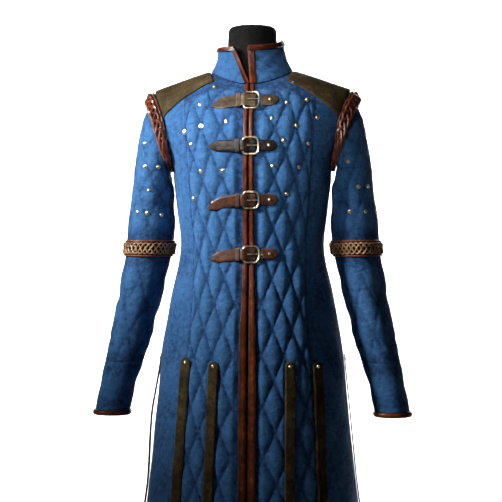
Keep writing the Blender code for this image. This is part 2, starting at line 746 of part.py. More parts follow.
def sleeve(side):
    """Upper sleeve, lower sleeve, cuff, cuff binding, arm band and armhole band."""
    name = side_name(side)
    columns = SLEEVE_COLUMNS
    join, seam = share_at(SLEEVE_JOIN_Z), share_at(CUFF_SEAM_Z)
    end, foot = share_at(CUFF_BINDING_Z), share_at(SLEEVE_END_Z)
    gap = SLEEVE_GAP_SHARE

    def quilt(flat):
        def relief(j, i):
            return 0.0 if j in flat else SLEEVE_PUFF * quilt_height(j, i)
        return relief

    def plain(j, i):
        return 0.0

    wall = SLEEVE_WALL
    tube_wall("upper_sleeve_" + name, side, SLEEVE_START_SHARE, join - gap, 12, columns, "linen", wall,
              quilt((0, 1, 2, 11, 12)), -wall, steps=(2, 2), quilted=0)
    tube_wall("lower_sleeve_" + name, side, join + gap, seam - gap, 8, columns, "linen", wall,
              quilt((0, 1, 8)), -wall, steps=(2, 2), quilted=0)
    tube_wall("cuff_" + name, side, seam + gap, end - gap, 2, 16, "linen", wall, plain, -wall)
    binding = CUFF_BINDING_WALL
    tube_wall("cuff_binding_" + name, side, end + gap, foot, 2, 16, "red_leather",
              binding["out"], lambda j, i: binding["crown"] if j == 1 else 0.0,
              -binding["inward"])
    low, high = share_at(ARM_BAND["high"]), share_at(ARM_BAND["low"])
    tube_wall("arm_band_" + name, side, low, high, 4, 24, "red_leather", LEATHER,
              braid_relief(24, 4, 6), BAND_LIFT, steps=(4, 1))
    tube_wall("armhole_band_" + name, side, None, None, 4, 28, "red_leather", LEATHER,
              braid_relief(28, 4, 7), ARMHOLE_BAND["lift"], steps=(4, 1))


def collar_curves(columns):
    """Collar base on the neckline and its rim, from the right front corner round the back."""
    base, rim = [], []
    for i in range(columns + 1):
        turn = -1.0 + 2.0 * i / columns
        side = -1 if turn < 0 else 1
        amount = 1.0 - abs(turn)
        start = math.asin(COLLAR_BASE_OPEN / NECK_POINT_X)
        angle = start + (math.pi - start) * amount
        x = side * NECK_POINT_X * math.sin(angle) if 0 < i < columns else side * COLLAR_BASE_OPEN
        face = -1 if angle < math.pi / 2 else 1
        if abs(turn) < 1e-9:
            x, face = 0.0, 1
        base.append(body_point(x, neckline_height(x, face), face))
        rim_start = math.asin(COLLAR_OPEN[side] / COLLAR["half"])
        rim_angle = rim_start + (math.pi - rim_start) * amount
        depth = COLLAR["front"] if rim_angle < math.pi / 2 else COLLAR["back"]
        end_z = COLLAR_FRONT_Z[side] if rim_angle < math.pi / 2 else COLLAR["back_z"]
        side_z = COLLAR_SIDE_Z[side]
        z = side_z + (end_z - side_z) * abs(math.cos(rim_angle))
        rim.append(Vector((COLLAR["shift"] + side * COLLAR["half"] * math.sin(rim_angle),
                           -depth * math.cos(rim_angle), z)))
    return base, rim


def from_neck(point):
    return Vector((point.x, point.y + 0.008, 0.02))


def collar():
    """Stand collar and the leather on its rim, from one grid so that they meet edge to edge."""
    columns, rows = 18, 3
    base, rim = collar_curves(columns)
    rise = [(rim[i] - base[i]).normalized() for i in range(columns + 1)]
    grid = []
    for j in range(rows + 1):
        t = j / rows
        line = []
        for i in range(columns + 1):
            low = base[i] + rise[i] * COLLAR_SEAM
            point = low.lerp(rim[i], t)
            point += from_neck(point).normalized() * (-COLLAR_WAIST * math.sin(math.pi * t))
            line.append(point)
        grid.append(line)
    for reach in COLLAR_BINDING["reach"]:
        grid.append([rim[i] + rise[i] * reach for i in range(columns + 1)])
    normals = grid_normals(grid, from_neck)
    normals[rows + 1] = normals[rows]
    half = [COLLAR_HALF_WALL] * (rows + 1) + list(COLLAR_BINDING["half_wall"])
    outer = moved_out(grid, normals, lambda j, i: half[j])
    inner = moved_out(grid, normals, lambda j, i: -half[j])
    cut = rows + 1
    wall_object("collar", outer[:cut], inner[:cut], "linen")
    wall_object("collar_binding", outer[cut:], inner[cut:], "red_leather")


def front_binding(side):
    """Leather binding on a front edge, from the hem up to the neckline."""
    columns = 3
    heights = row_heights(BINDING_WIDTH[-1]["w"], -1, HEM_Z, SKIRT_ROWS, SHOULDER_ROWS)
    heights[-1] -= BINDING_TOP_GAP
    grid = []
    for z in [heights[j] for j in body_rows()]:
        width = table_value(BINDING_WIDTH, "w", z)
        grid.append([body_point(side * (BINDING_EDGE_X + width * i / columns), z, -1)
                     for i in range(columns + 1)])
    normals = body_normals(grid, -1)

    def under(j, i):
        """The lower, wider stretch climbs onto the first quilting puffs."""
        width = table_value(BINDING_WIDTH, "w", grid[j][i].z)
        wide = smooth_share((width - BINDING_CLIMB["from_width"]) / BINDING_CLIMB["over"])
        return BINDING_LIFT + (BINDING_CLIMB["height"] * wide if i == columns else 0.0)

    wall_object("front_binding_" + side_name(side),
                moved_out(grid, normals, lambda j, i: under(j, i) + BINDING_CROWN[i]),
                moved_out(grid, normals, under), "red_leather", steps=(1, 3))


def front_frame(x, z):
    """Point and outward direction on the front, for what is fastened there."""
    return body_point(x, z, -1), body_normal(x, z, -1)


def on_front(strap, x, across, height):
    """A point over the front, measured along a strap, across it and out from the cloth."""
    fall = strap["droop"] * max(0.0, DROOP_START - x) ** 2
    point, normal = front_frame(x, strap["z"] + across - x * strap["tilt"] - fall)
    return point + normal * height


def strap_rise(x):
    """How far the strap lifts to pass over the buckle's bar."""
    return STRAP_ARCH["height"] * math.exp(-((x - BUCKLE["left"]) / STRAP_ARCH["reach"]) ** 2)


def band_on_front(name, strap, stations, lift, thick, look, rise):
    """A flat leather band along the front. Stations give place along it and half width."""
    grid = []
    for x, half in stations:
        grid.append([(x, -half), (x, 0.0), (x, half)])
    inner = [[on_front(strap, x, w, lift + rise(x)) for x, w in line] for line in grid]
    outer = [[on_front(strap, x, w, lift + rise(x) + thick) for x, w in line]
             for line in grid]
    wall_object(name, outer, inner, look)


def round_end(start, direction, half, steps=3):
    """Stations of a rounded end: places along the band and their half widths."""
    rows = []
    for k in range(steps):
        angle = math.pi / 2 * (k + 0.45) / steps
        rows.append((start + direction * half * (1 - math.cos(angle)), half * math.sin(angle)))
    return rows


def tube_along(name, path, radius, look, closed, sides=5):
    """A wire of round section along a path of points."""
    count = len(path)
    points, faces = [], []
    for k in range(count):
        before = path[(k - 1) % count] if closed or k > 0 else path[k]
        after = path[(k + 1) % count] if closed or k < count - 1 else path[k]
        ahead = (after - before).normalized()
        out = Vector((0.0, -1.0, 0.0))
        across = ahead.cross(out).normalized()
        out = across.cross(ahead).normalized()
        for s in range(sides):
            angle = 2 * math.pi * s / sides
            points.append(path[k] + (across * math.cos(angle) + out * math.sin(angle)) * radius)
    for k in range(count if closed else count - 1):
        for s in range(sides):
            a, b = k * sides + s, k * sides + (s + 1) % sides
            c, d = ((k + 1) % count) * sides + (s + 1) % sides, ((k + 1) % count) * sides + s
            faces += [(a, b, c), (a, c, d)]
    if not closed:
        faces.append(tuple(range(sides))[::-1])
        faces.append(tuple((count - 1) * sides + s for s in range(sides)))
    return mesh_object(name, points, faces, look)


def buckle_path():
    """D-shaped loop: a straight bar at its left and a round bow at its right."""
    left, right, half = BUCKLE["left"], BUCKLE["right"], BUCKLE["half"]
    corner = 0.006
    upper = []
    for angle in (0.0, math.pi / 4, math.pi / 2):
        upper.append((left + corner * (1 - math.cos(angle)),
                      half - corner * (1 - math.sin(angle))))
    bow = right - half * 0.72
    for k in range(4):
        angle = math.pi / 2 * k / 3
        upper.append((bow + (right - bow) * math.sin(angle), half * math.cos(angle)))
    return upper + [(x, -w) for x, w in reversed(upper[:-1])]


def strap_set(strap):
    name = strap["name"]
    half = STRAP_HALF_WIDTH
    tip, end = strap["tip"], STRAP_END
    stations = [(tip + x, half * share) for x, share in STRAP_POINT]
    bar = BUCKLE["left"]
    places = (bar - 0.021, bar - 0.012, bar - 0.006, bar,
              bar + 0.006, bar + 0.012, end)
    stations += [(place, half) for place in places]
    band_on_front(name, strap, stations, strap["lift"], LEATHER, "strap_leather", strap_rise)
    narrow = half * CHAPE_NARROWING
    stations = [(CHAPE_START, narrow), (CHAPE_START + 0.011, narrow),
                (strap["chape"] - half, narrow)]
    stations += [(strap["chape"] - (x - tip), w * CHAPE_NARROWING)
                 for x, w in reversed(round_end(tip, 1, half))]
    band_on_front(name + "_chape", strap, stations, strap["low"], CHAPE_WALL,
                  "strap_leather", lambda x: 0.0)
    wire = BUCKLE["wire"]
    centre = strap["lift"] + wire
    path = [on_front(strap, x, w, centre) for x, w in buckle_path()]
    tube_along(name + "_buckle", path, wire, "brass", True)
    prong_wire = PRONG["wire"]
    rest = centre + wire + SEAM_GAP + prong_wire
    top = strap["lift"] + strap_rise(PRONG["start"]) + LEATHER + SEAM_GAP + prong_wire
    line = [on_front(strap, x, 0.0, height) for x, height in
            ((PRONG["start"], top), (0.006, top), (0.014, max(rest, top - 0.001)),
             (BUCKLE["right"] + 0.0012, rest))]
    tube_along(name + "_prong", line, prong_wire, "brass", False)
    keeper(strap)


def keeper(strap):
    """The narrow leather loop round the strap, beside the buckle."""
    half = STRAP_HALF_WIDTH
    low = strap["lift"] - KEEPER["drop"]
    thick = KEEPER["wall"]
    wide = half + KEEPER["room"]
    grid_in, grid_out = [], []
    for share in (-1.0, 1.0):
        x = KEEPER["x"] + share * KEEPER["half"]
        top = strap["lift"] + strap_rise(x) + LEATHER + KEEPER["over"]
        flat_in = ((-wide, low), (-wide, top), (0.0, top), (wide, top), (wide, low))
        flat_out = ((-wide - thick, low), (-wide - thick, top + thick / 2), (0.0, top + thick),
                    (wide + thick, top + thick / 2), (wide + thick, low))
        grid_in.append([on_front(strap, x, w, h) for w, h in flat_in])
        grid_out.append([on_front(strap, x, w, h) for w, h in flat_out])
    wall_object(strap["name"] + "_keeper", grid_out, grid_in, "strap_leather")


def lappet(row):
    """A hanging strip on the front, rounded at its top, a little above the hem at its foot."""
    rows = 8
    half = LAPPET_WIDTH / 2
    inner, outer = [], []
    lift = row["lift"]
    top, foot = row["top_z"], LAPPET_FOOT_Z
    stations = [(foot + (top - half - foot) * k / rows, half) for k in range(rows + 1)]
    stations += [(top - half + half * s, half * w) for s, w in LAPPET_TOP_ROUND]
    for z, width in stations:
        share = (top - z) / (top - foot)
        x = row["top_x"] + (row["foot_x"] - row["top_x"]) * share
        line_in, line_out = [], []
        for w in (-width, 0.0, width):
            point, normal = front_frame(x + w, z)
            line_in.append(point + normal * lift)
            line_out.append(point + normal * (lift + LEATHER))
        inner.append(line_in)
        outer.append(line_out)
    wall_object(row["name"], outer, inner, "olive_leather")


def side_lappet(side):
    """The strip at a side seam. It hangs from its top and swings off the skirt below it."""
    rows = 8
    half = LAPPET_WIDTH / 2
    top, foot = SIDE_LAPPET["top_z"], LAPPET_FOOT_Z
    drop = SIDE_LAPPET["edge_drop"]
    inner, outer = [], []
    for k in range(rows + 1):
        z = foot + (top - foot) * k / rows
        share = (top - z) / (top - foot)
        settled = smooth_share((share - SIDE_SETTLE["start"]) / SIDE_SETTLE["length"])
        swing = smooth_share(share * SIDE_SETTLE["quickness"]) * (1 - SIDE_SETTLE["share"] * settled)
        away = SIDE_LAPPET["lift"] + SIDE_SWING[side] * swing
        x = side * (table_value(BODY_SECTIONS, "half", z) + away)
        width = half * (SIDE_LAPPET["top_share"] if k == rows else 1.0)
        inner.append([Vector((x - side * drop * abs(w), w * width, z)) for w in (-1, 0, 1)])
        outer.append([Vector((x + side * (LEATHER - drop * abs(w)), w * width, z))
                      for w in (-1, 0, 1)])
    wall_object("lappet_side_" + side_name(side), outer, inner, "olive_leather")


def turned(name, profile, look, sides=32):
    """A closed turned solid from a list of radius and height, bottom to top."""
    points, faces = [], []
    for radius, z in profile:
        for s in range(sides):
            angle = 2 * math.pi * s / sides
            points.append(Vector((radius * math.sin(angle), -radius * math.cos(angle), z)))
    for k in range(len(profile) - 1):
        for s in range(sides):
            a, b = k * sides + s, k * sides + (s + 1) % sides
            faces += [(a, b, b + sides), (a, b + sides, a + sides)]
    faces.append(tuple(range(sides))[::-1])
    faces.append(tuple((len(profile) - 1) * sides + s for s in range(sides)))
    return mesh_object(name, points, faces, look)


def form_torso():
    """The form's torso, just inside the coat. It meets the cloth along the shoulder ridge."""
    columns, waist_rows, step = 8, 15, 3
    lines = {-1: [], 1: []}
    tops = [FORM["widest"] * math.sin(math.pi / 2 * (-1.0 + 2.0 * i / columns))
            for i in range(columns + 1)]
    heights = [row_heights(max(abs(x), NECK_POINT_X + 0.001), -1, FORM["bottom_z"],
                           waist_rows, SHOULDER_ROWS) for x in tops]
    count = len(heights[0])
    picks = [j for j in range(count) if j <= waist_rows and j % step == 0 or j > waist_rows]
    for j in picks:
        for face in (-1, 1):
            line = []
            for i in range(columns + 1):
                z = heights[i][j]
                reach = min(table_value(BODY_SECTIONS, "half", z) * 0.985, FORM["widest"])
                x = tops[i] * reach / FORM["widest"]
                z = min(z, shoulder_height(x) - RIDGE_STOP)
                near_ridge = smooth_share(1.0 - (shoulder_height(x) - z) / FORM_SEAT["below"])
                by_neck = smooth_share((FORM_SEAT["x"] - abs(x)) / FORM_SEAT["fade"])
                sunk = (QUILT_WALL + FORM_SEAT["gap"] + FORM_CLEARANCE * (1.0 - near_ridge)
                        + FORM_SEAT["neck_room"] * by_neck)
                point = body_point(x, z, face) - body_normal(x, z, face) * sunk
                if j == count - 1:
                    point.y = 0.0
                if j == 0:
                    point.z = FORM["bottom_z"]
                line.append(point)
            lines[face].append(line)
    points, faces = [], []
    rows, size = len(picks), 2 * (columns + 1)
    for j in range(rows - 1):
        points += lines[-1][j] + lines[1][j][::-1]
    ridge = len(points)
    points += lines[-1][rows - 1]
    for j in range(rows - 2):
        for k in range(size):
            a, b = j * size + k, j * size + (k + 1) % size
            faces += [(a, b, b + size), (a, b + size, a + size)]
    last = (rows - 2) * size
    for k in range(columns):
        faces += [(last + k, last + k + 1, ridge + k + 1), (last + k, ridge + k + 1, ridge + k)]
        far = last + size - 1 - k
        faces += [(far - 1, far, ridge + k), (far - 1, ridge + k, ridge + k + 1)]
    faces.append((last + columns, last + columns + 1, ridge + columns))
    faces.append((last + size - 1, last, ridge))
    faces.append(tuple(range(size))[::-1])
    return mesh_object("form_torso", points, faces, "form_cloth")


def form():
    """Torso with its neck, dark neck cap, and the pole on its round base."""
    torso = form_torso()
    neck = turned("neck_stub", NECK_PROFILE, "form_cloth", 20)
    join = torso.modifiers.new("neck", "BOOLEAN")
    join.operation = "UNION"
    join.object = neck
    neck.hide_render = True
    neck.display_type = "WIRE"
    turned("form_neck_cap", CAP_PROFILE, "form_cloth", 20)
    turned("form_stand", STAND_PROFILE, "stand_paint", 20)


def build():
    clear_scene()
    for side in (-1, 1):
        for face in (-1, 1):
            quilted_panel(side, face)
            side_panel(side, face)
        yoke(side)
        sleeve(side)
        front_binding(side)
        side_lappet(side)
    collar()
    for strap in STRAPS:
        strap_set(strap)
    for row in LAPPETS:
        lappet(row)
    form()


build()
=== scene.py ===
"""Quilted gambeson on a dress form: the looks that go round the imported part.

The coat faces -Y, +Z is up and the wearer's right is -X. Each cloth piece is a thin shell on
the same body or sleeve surface as its solid, with finer relief.
"""

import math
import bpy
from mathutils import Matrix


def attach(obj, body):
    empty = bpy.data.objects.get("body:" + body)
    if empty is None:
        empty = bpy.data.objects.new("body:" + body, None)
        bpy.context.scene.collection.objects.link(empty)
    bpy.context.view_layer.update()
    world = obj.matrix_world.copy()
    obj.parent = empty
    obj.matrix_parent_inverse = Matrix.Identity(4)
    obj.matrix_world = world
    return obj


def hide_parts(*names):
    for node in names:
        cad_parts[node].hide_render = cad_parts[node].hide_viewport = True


bl_info = {
    "name": "Gambeson on a dress form",
    "version": (1, 0, 0),
    "blender": (4, 5, 0),
    "location": "3D View > Sidebar > Gambeson",
    "description": "Builds the cloth, leather and brass of a quilted gambeson on its form",
    "category": "Add Mesh",
}

import bpy
import numpy as np
from bpy.props import FloatProperty, FloatVectorProperty, PointerProperty
from mathutils import Vector

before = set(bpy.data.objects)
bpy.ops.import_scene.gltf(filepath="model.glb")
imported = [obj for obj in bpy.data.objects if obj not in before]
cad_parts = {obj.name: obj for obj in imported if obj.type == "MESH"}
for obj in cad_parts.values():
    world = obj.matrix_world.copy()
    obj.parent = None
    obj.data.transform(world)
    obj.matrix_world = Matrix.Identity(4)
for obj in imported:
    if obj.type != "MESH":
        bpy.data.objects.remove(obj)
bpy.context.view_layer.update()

# Sizes in metres, most of them shared with the solids.
HEM_Z, ARMPIT_Z = 0.300, 1.165
NECK_POINT_X, SHOULDER_Z, SHOULDER_SLOPE, SHOULDER_BEND = 0.084, 1.357, 0.347, 0.014
SHOULDER_ROUNDING, SECTION_POWER = 0.150, 2.3
SEAM_GAP, RIDGE_STOP = 0.0003, 2e-7
SKIRT_ROWS, SHOULDER_ROWS, SIDE_COLUMNS = 36, 7, 3
ROWS = SKIRT_ROWS + SHOULDER_ROWS
PANEL_COLUMNS, QUILT_SHIFT = {-1: 12, 1: 10}, 3
PANEL_EDGE_X = {-1: 0.0008, 1: SEAM_GAP / 2}

# Height, half width, front depth, back depth.
BODY = np.array((
    (0.300, 0.248, 0.180, 0.188), (0.465, 0.220, 0.163, 0.170), (0.596, 0.205, 0.152, 0.158),
    (0.679, 0.197, 0.146, 0.152), (0.769, 0.189, 0.139, 0.145), (0.829, 0.180, 0.131, 0.136),
    (0.900, 0.167, 0.121, 0.122), (0.987, 0.149, 0.110, 0.106), (1.066, 0.156, 0.114, 0.109),
    (1.126, 0.163, 0.121, 0.115), (1.165, 0.166, 0.124, 0.118), (1.200, 0.184, 0.124, 0.119),
    (1.240, 0.202, 0.122, 0.118), (1.290, 0.219, 0.119, 0.116), (1.370, 0.235, 0.118, 0.115)))
HALF_WIDTH, FRONT_DEPTH, BACK_DEPTH = BODY[:, (0, 1)], BODY[:, (0, 2)], BODY[:, (0, 3)]
PRINCESS_SEAM = np.array((
    (0.300, 0.158), (0.470, 0.145), (0.630, 0.134), (0.800, 0.122), (0.900, 0.115),
    (1.000, 0.115), (1.126, 0.124), (1.300, 0.134), (1.370, 0.134)))
ARMHOLE_EDGE = np.array((
    (1.165, 0.166), (1.180, 0.167), (1.200, 0.169), (1.240, 0.174), (1.280, 0.186),
    (1.316, 0.203)))
YOKE_EDGE = np.array((
    (0.0725, 0.026), (0.1270, 0.042), (0.1520, 0.052), (0.1735, 0.064), (0.1800, 0.074)))
YOKE_NECK, YOKE_LIFT, YOKE_EDGE_INSET = (0.0755, 0.0890), 0.0013, 0.0008
# Height, centre across, centre in depth, half width, half depth.
SLEEVE = np.array((
    (0.648, 0.2895, -0.032, 0.036, 0.036), (0.708, 0.2780, -0.026, 0.037, 0.038),
    (0.765, 0.2635, -0.020, 0.040, 0.041), (0.825, 0.2485, -0.014, 0.043, 0.045),
    (0.894, 0.2335, -0.008, 0.046, 0.048), (0.981, 0.2165, -0.003, 0.048, 0.051),
    (1.020, 0.2125, -0.002, 0.049, 0.053), (1.100, 0.2078, 0.000, 0.044, 0.056)))
SLEEVE_TOP_Z, SLEEVE_END_Z = 1.100, 0.648
SLEEVE_CAP_SHARE, SLEEVE_SEAM, ARMPIT_ROOM = 0.34, -0.0006, 0.0085
SLEEVE_START_SHARE, SLEEVE_GAP_SHARE = 0.0042, 0.0006
SLEEVE_HEAD = ((0.60, 0.125, -0.225), (0.60, 0.025, 0.175))
SLEEVE_JOIN_Z, CUFF_SEAM_Z, CUFF_BINDING_Z = 0.990, 0.758, 0.659
ARM_BAND, ARM_BAND_LIFT = (0.974, 1.007), 0.0013
ARMHOLE_BAND, ARMHOLE_BAND_LIFT = dict(start=0.0026, width=0.033, under=0.017), 0.0031
# Height, side of the arm in degrees, length along the arm, depth.
SLEEVE_CREASES = (
    (1.075, 150, 0.016, 0.0030), (0.930, 200, 0.018, 0.0040), (0.895, 30, 0.015, 0.0030),
    (0.845, 190, 0.017, 0.0036), (0.800, 60, 0.014, 0.0026))
COLLAR_HALF, COLLAR_SHIFT, COLLAR_DEPTH = 0.066, -0.004, {-1: 0.060, 1: 0.058}
COLLAR_SIDE_Z, COLLAR_FRONT_Z, COLLAR_BACK_Z = {-1: 1.402, 1: 1.417}, {-1: 1.397, 1: 1.398}, 1.412
COLLAR_OPEN, COLLAR_BASE_OPEN = {-1: 0.028, 1: -0.001}, 0.0012
COLLAR_EDGE_WIDTH = {-1: 0.0095, 1: 0.0135}
PRESSED_RISE = 0.0032
COLLAR_SEAM, COLLAR_WAIST, COLLAR_HALF_WALL = 0.0014, 0.0045, 0.0016
NECKLINE = {"side": 1.3535, -1: 1.322, 1: 1.332}
BINDING_LIFT, BINDING_EDGE_X, BINDING_TOP_GAP = 0.0010, 0.0010, 0.002
BINDING_WIDTH = np.array((
    (0.300, 0.0160), (0.800, 0.0160), (0.880, 0.0130), (1.030, 0.0105), (1.200, 0.0095),
    (1.400, 0.0095)))
# Name, height, tip, chape end, slope, strap lift, chape lift, finish, droop of the tip.
STRAPS = (
    ("strap_1", 1.2845, -0.074, 0.058, -0.020, 0.0038, 0.0038, "taupe_strap", 3.4),
    ("strap_2", 1.1940, -0.079, 0.056, -0.010, 0.0037, 0.0037, "dark_strap", 0.0),
    ("strap_3", 1.0870, -0.081, 0.056, -0.022, 0.0044, 0.0035, "chestnut_strap", 3.9),
    ("strap_4", 0.9780, -0.077, 0.056, -0.020, 0.0046, 0.0037, "chestnut_strap", 2.5))
DROOP_START, STRAP_POINT = -0.020, 0.023
STRAP_HALF_WIDTH, STRAP_END, CHAPE_START = 0.0117, 0.013, 0.0245
BUCKLE = dict(left=-0.010, right=0.021, half=0.0165, wire=0.0019, corner=0.006)
STRAP_ARCH = (0.0047, 0.0085)
PRONG_START, PRONG_WIRE = -0.002, 0.0013
KEEPER = dict(x=-0.021, half=0.0035, wall=0.0016, room=0.0006, over=0.0009, drop=0.0004,
              corner=0.0007)
# Name, top and foot across, height of the top, lift.
LAPPETS = (
    ("lappet_outer_right", -0.124, -0.152, 0.772, 0.0026),
    ("lappet_inner_right", -0.067, -0.082, 0.766, 0.0039),
    ("lappet_inner_left", 0.083, 0.083, 0.766, 0.0039),
    ("lappet_outer_left", 0.136, 0.152, 0.764, 0.0026))
LAPPET_WIDTH, LAPPET_FOOT_Z = 0.0195, 0.345
SIDE_LAPPET = dict(top_z=0.772, lift=0.0007, swing={-1: 0.0095, 1: 0.0012})
FORM_WIDEST, FORM_BOTTOM_Z, FORM_CLEARANCE = 0.156, 0.720, 0.009
FORM_SEAT = dict(x=0.100, gap=0.0009, below=0.030, fade=0.012, neck_room=0.004)
NECK_RADIUS, CAP_LEVEL_Z = 0.0495, 1.4133
# Height and radius at both ends of the form's neck.
FORM_NECK = ((1.290, 0.0535), (1.350, 0.0520))
# Height over the cap's level, and radius as a share of the neck's.
CAP = ((-0.075, 1.085), (-0.045, 1.025), (-0.015, 1.02), (0.020, 1.02), (0.026, 1.01),
       (0.031, 0.985), (0.0345, 0.93), (0.037, 0.80), (0.0385, 0.50), (0.0395, 0.12))
# Radius and height along the stand's profile.
STAND = (
    (0.001, 0.0), (0.166, 0.0), (0.170, 0.002), (0.170, 0.010), (0.1685, 0.014),
    (0.164, 0.0165), (0.110, 0.0195), (0.050, 0.022), (0.036, 0.0245), (0.026, 0.030),
    (0.019, 0.040), (0.016, 0.052), (0.016, 0.250), (0.016, 0.450), (0.016, 0.680),
    (0.0165, 0.6997), (0.022, 0.704), (0.030, 0.7097), (0.030, 0.7197), (0.001, 0.7197))

# Stitching, studs, rivets and cords, which only the looks have.
SEAM_STITCHES, SEAM_STITCHES_TOP_Z = (-0.0032, -0.0062, 0.0034), 1.262
STRAP_STITCH_INSET, STRAP_HOLES, CHAPE_SHARE, CHAPE_EXTRA = 0.0022, (0.026, 0.038), 0.93, 0.0010
STUD_RISE, STUD_RIM, STUD_SEAT, STUD_REACH = 0.0028, 0.0006, 0.0004, 0.014
STUD_DENT, RIVET_RISE, SHARP_ANGLE = 0.0065, 0.0020, 50.0
PRESS_MARGIN, QUILT_STOP, QUILT_FADE = 0.006, 0.012, 0.020
CUFF_ROLL = dict(base=0.0014, swell=0.0030, under=0.0028)
COLLAR_LEATHER = dict(outside=0.0026, inside=0.0012, roll=0.0016, turned_in=0.006)
COLLAR_RIM_WIDTH, COLLAR_RIM_LIFT, COLLAR_RIM_RISE = 0.0105, 0.0008, 0.0048
BINDING_CROWN = dict(base=0.0006, rise=0.0026)
# Waves round the arm, strands, radius and share of the band's width.
ARM_CORDS, ARMHOLE_CORDS = (8, 4, 0.0017, 0.66), (9, 3, 0.0032, 0.62)
PIPING = dict(radius=0.0015, inset=0.0011, rise=0.75)

# The studio: half its breadth, its front, where its floor starts to bend, its wall and top.
SET_HALF, SET_FRONT_Y, SET_BEND_Y, SET_WALL_Y, SET_TOP_Z = 6.0, -7.0, 5.0, 6.5, 7.0
# Lamp, size, place, aim and spread in degrees. The setting of its name gives its power.
LAMPS = (
    ("key", (0.4, 0.4), (-1.95, -1.00, 2.05), (-0.05, -0.1, 1.14), 30.0),
    ("front", (0.3, 0.3), (-0.9, -2.5, 2.00), (-0.02, 0.0, 1.24), 13.0),
    ("fill", (1.6, 2.0), (2.4, -2.4, 1.5), (0.0, 0.0, 0.95), 180.0),
    ("rim", (1.0, 1.6), (-1.8, 1.6, 2.3), (0.0, 0.0, 1.1), 180.0),
    ("back", (1.8, 1.8), (0.7, 3.4, 2.5), (0.0, 0.0, 0.85), 60.0))
# Pairs of lamps for floor and wall: share of the wall lamps' power, place and aim of one.
SET_LAMPS = (
    ("floor_", 0.7, (1.8, 1.6, 1.3), (0.5, 4.0, 0.0)),
    ("wall_", 1.3, (2.3, 3.6, 1.5), (0.6, 6.5, 1.2)))
SET_LAMP_SIZE, SET_LAMP_SPREAD = (0.8, 1.6), 130.0

# Brass studs at quilting crossings: across and height on the front, as x and z.
FRONT_STUDS = (
    (-0.0715, 1.3180), (-0.0993, 1.2790), (-0.0867, 1.2440), (-0.0434, 1.2440),
    (-0.1237, 1.2312), (-0.1158, 1.1990), (-0.0958, 1.1445), (-0.0511, 1.1455),
    (-0.1122, 1.0906), (-0.0721, 1.0912), (0.0871, 1.3265), (0.0639, 1.2885),
    (0.1121, 1.2915), (0.0474, 1.2498), (0.0899, 1.2466), (0.1370, 1.2522),
    (0.0708, 1.2053), (0.1180, 1.1999), (0.0488, 1.1536), (0.0998, 1.1528), (0.0759, 1.0994))
# Sleeve studs: side, across and height, as seen from the front.
SLEEVE_STUDS = (
    (-1, -0.2185, 1.2065), (-1, -0.2175, 1.1580), (-1, -0.1890, 1.1570), (-1, -0.2083, 1.1090),
    (-1, -0.2325, 1.0650), (-1, -0.2120, 1.0625), (-1, -0.1840, 1.0575), (1, 0.2330, 1.2190),
    (1, 0.1985, 1.1660), (1, 0.2190, 1.1160), (1, 0.2380, 1.1170), (1, 0.2020, 1.0650),
    (1, 0.2330, 1.0650), (1, 0.2550, 1.0640))


# Surfaces of the coat and its sleeves
def read_curve(table, at):
    """Values of a two-column table at many places, with smooth steps between its rows."""
    places, values = table[:, 0], table[:, 1]
    count = len(places)
    before = np.maximum(np.arange(count) - 1, 0)
    after = np.minimum(np.arange(count) + 1, count - 1)
    slopes = (values[after] - values[before]) / (places[after] - places[before])
    at = np.clip(at, places[0], places[-1])
    i = np.clip(np.searchsorted(places, at, side="right") - 1, 0, count - 2)
    span = places[i + 1] - places[i]
    t = (at - places[i]) / span
    return ((2 * t**3 - 3 * t**2 + 1) * values[i] + (t**3 - 2 * t**2 + t) * span * slopes[i]
            + (3 * t**2 - 2 * t**3) * values[i + 1] + (t**3 - t**2) * span * slopes[i + 1])


def smooth_step(value):
    value = np.clip(value, 0.0, 1.0)
    return value * value * (3.0 - 2.0 * value)


def unit(vectors):
    return vectors / np.maximum(np.linalg.norm(vectors, axis=-1, keepdims=True), 1e-12)


def stack(x, y, z):
    return np.stack(np.broadcast_arrays(x, y, z), axis=-1).astype(float)


def shoulder_height(x):
    past = np.abs(x) - NECK_POINT_X
    return SHOULDER_Z - SHOULDER_SLOPE * (np.hypot(past, SHOULDER_BEND) + past) / 2


def shoulder_fall(x):
    past = np.abs(x) - NECK_POINT_X
    return SHOULDER_SLOPE * (1 + past / np.hypot(past, SHOULDER_BEND)) / 2


def closing(x, z):
    t = np.clip(1.0 - (shoulder_height(x) - z) / SHOULDER_ROUNDING, 0.0, 1.0)
    return np.sqrt(np.maximum(0.0, 1.0 - t * t))


def section_sizes(z, face):
    return read_curve(HALF_WIDTH, z), np.where(
        np.asarray(face) < 0, read_curve(FRONT_DEPTH, z), read_curve(BACK_DEPTH, z))


def body_point(x, z, face):
    """Points of the coat's surface; face is -1 in front and 1 behind."""
    half, depth = section_sizes(z, face)
    share = np.minimum(1.0, np.abs(x) / half)
    roundness = np.maximum(0.0, 1.0 - share**SECTION_POWER) ** (1.0 / SECTION_POWER)
    return stack(x, face * depth * roundness * closing(x, z), z)


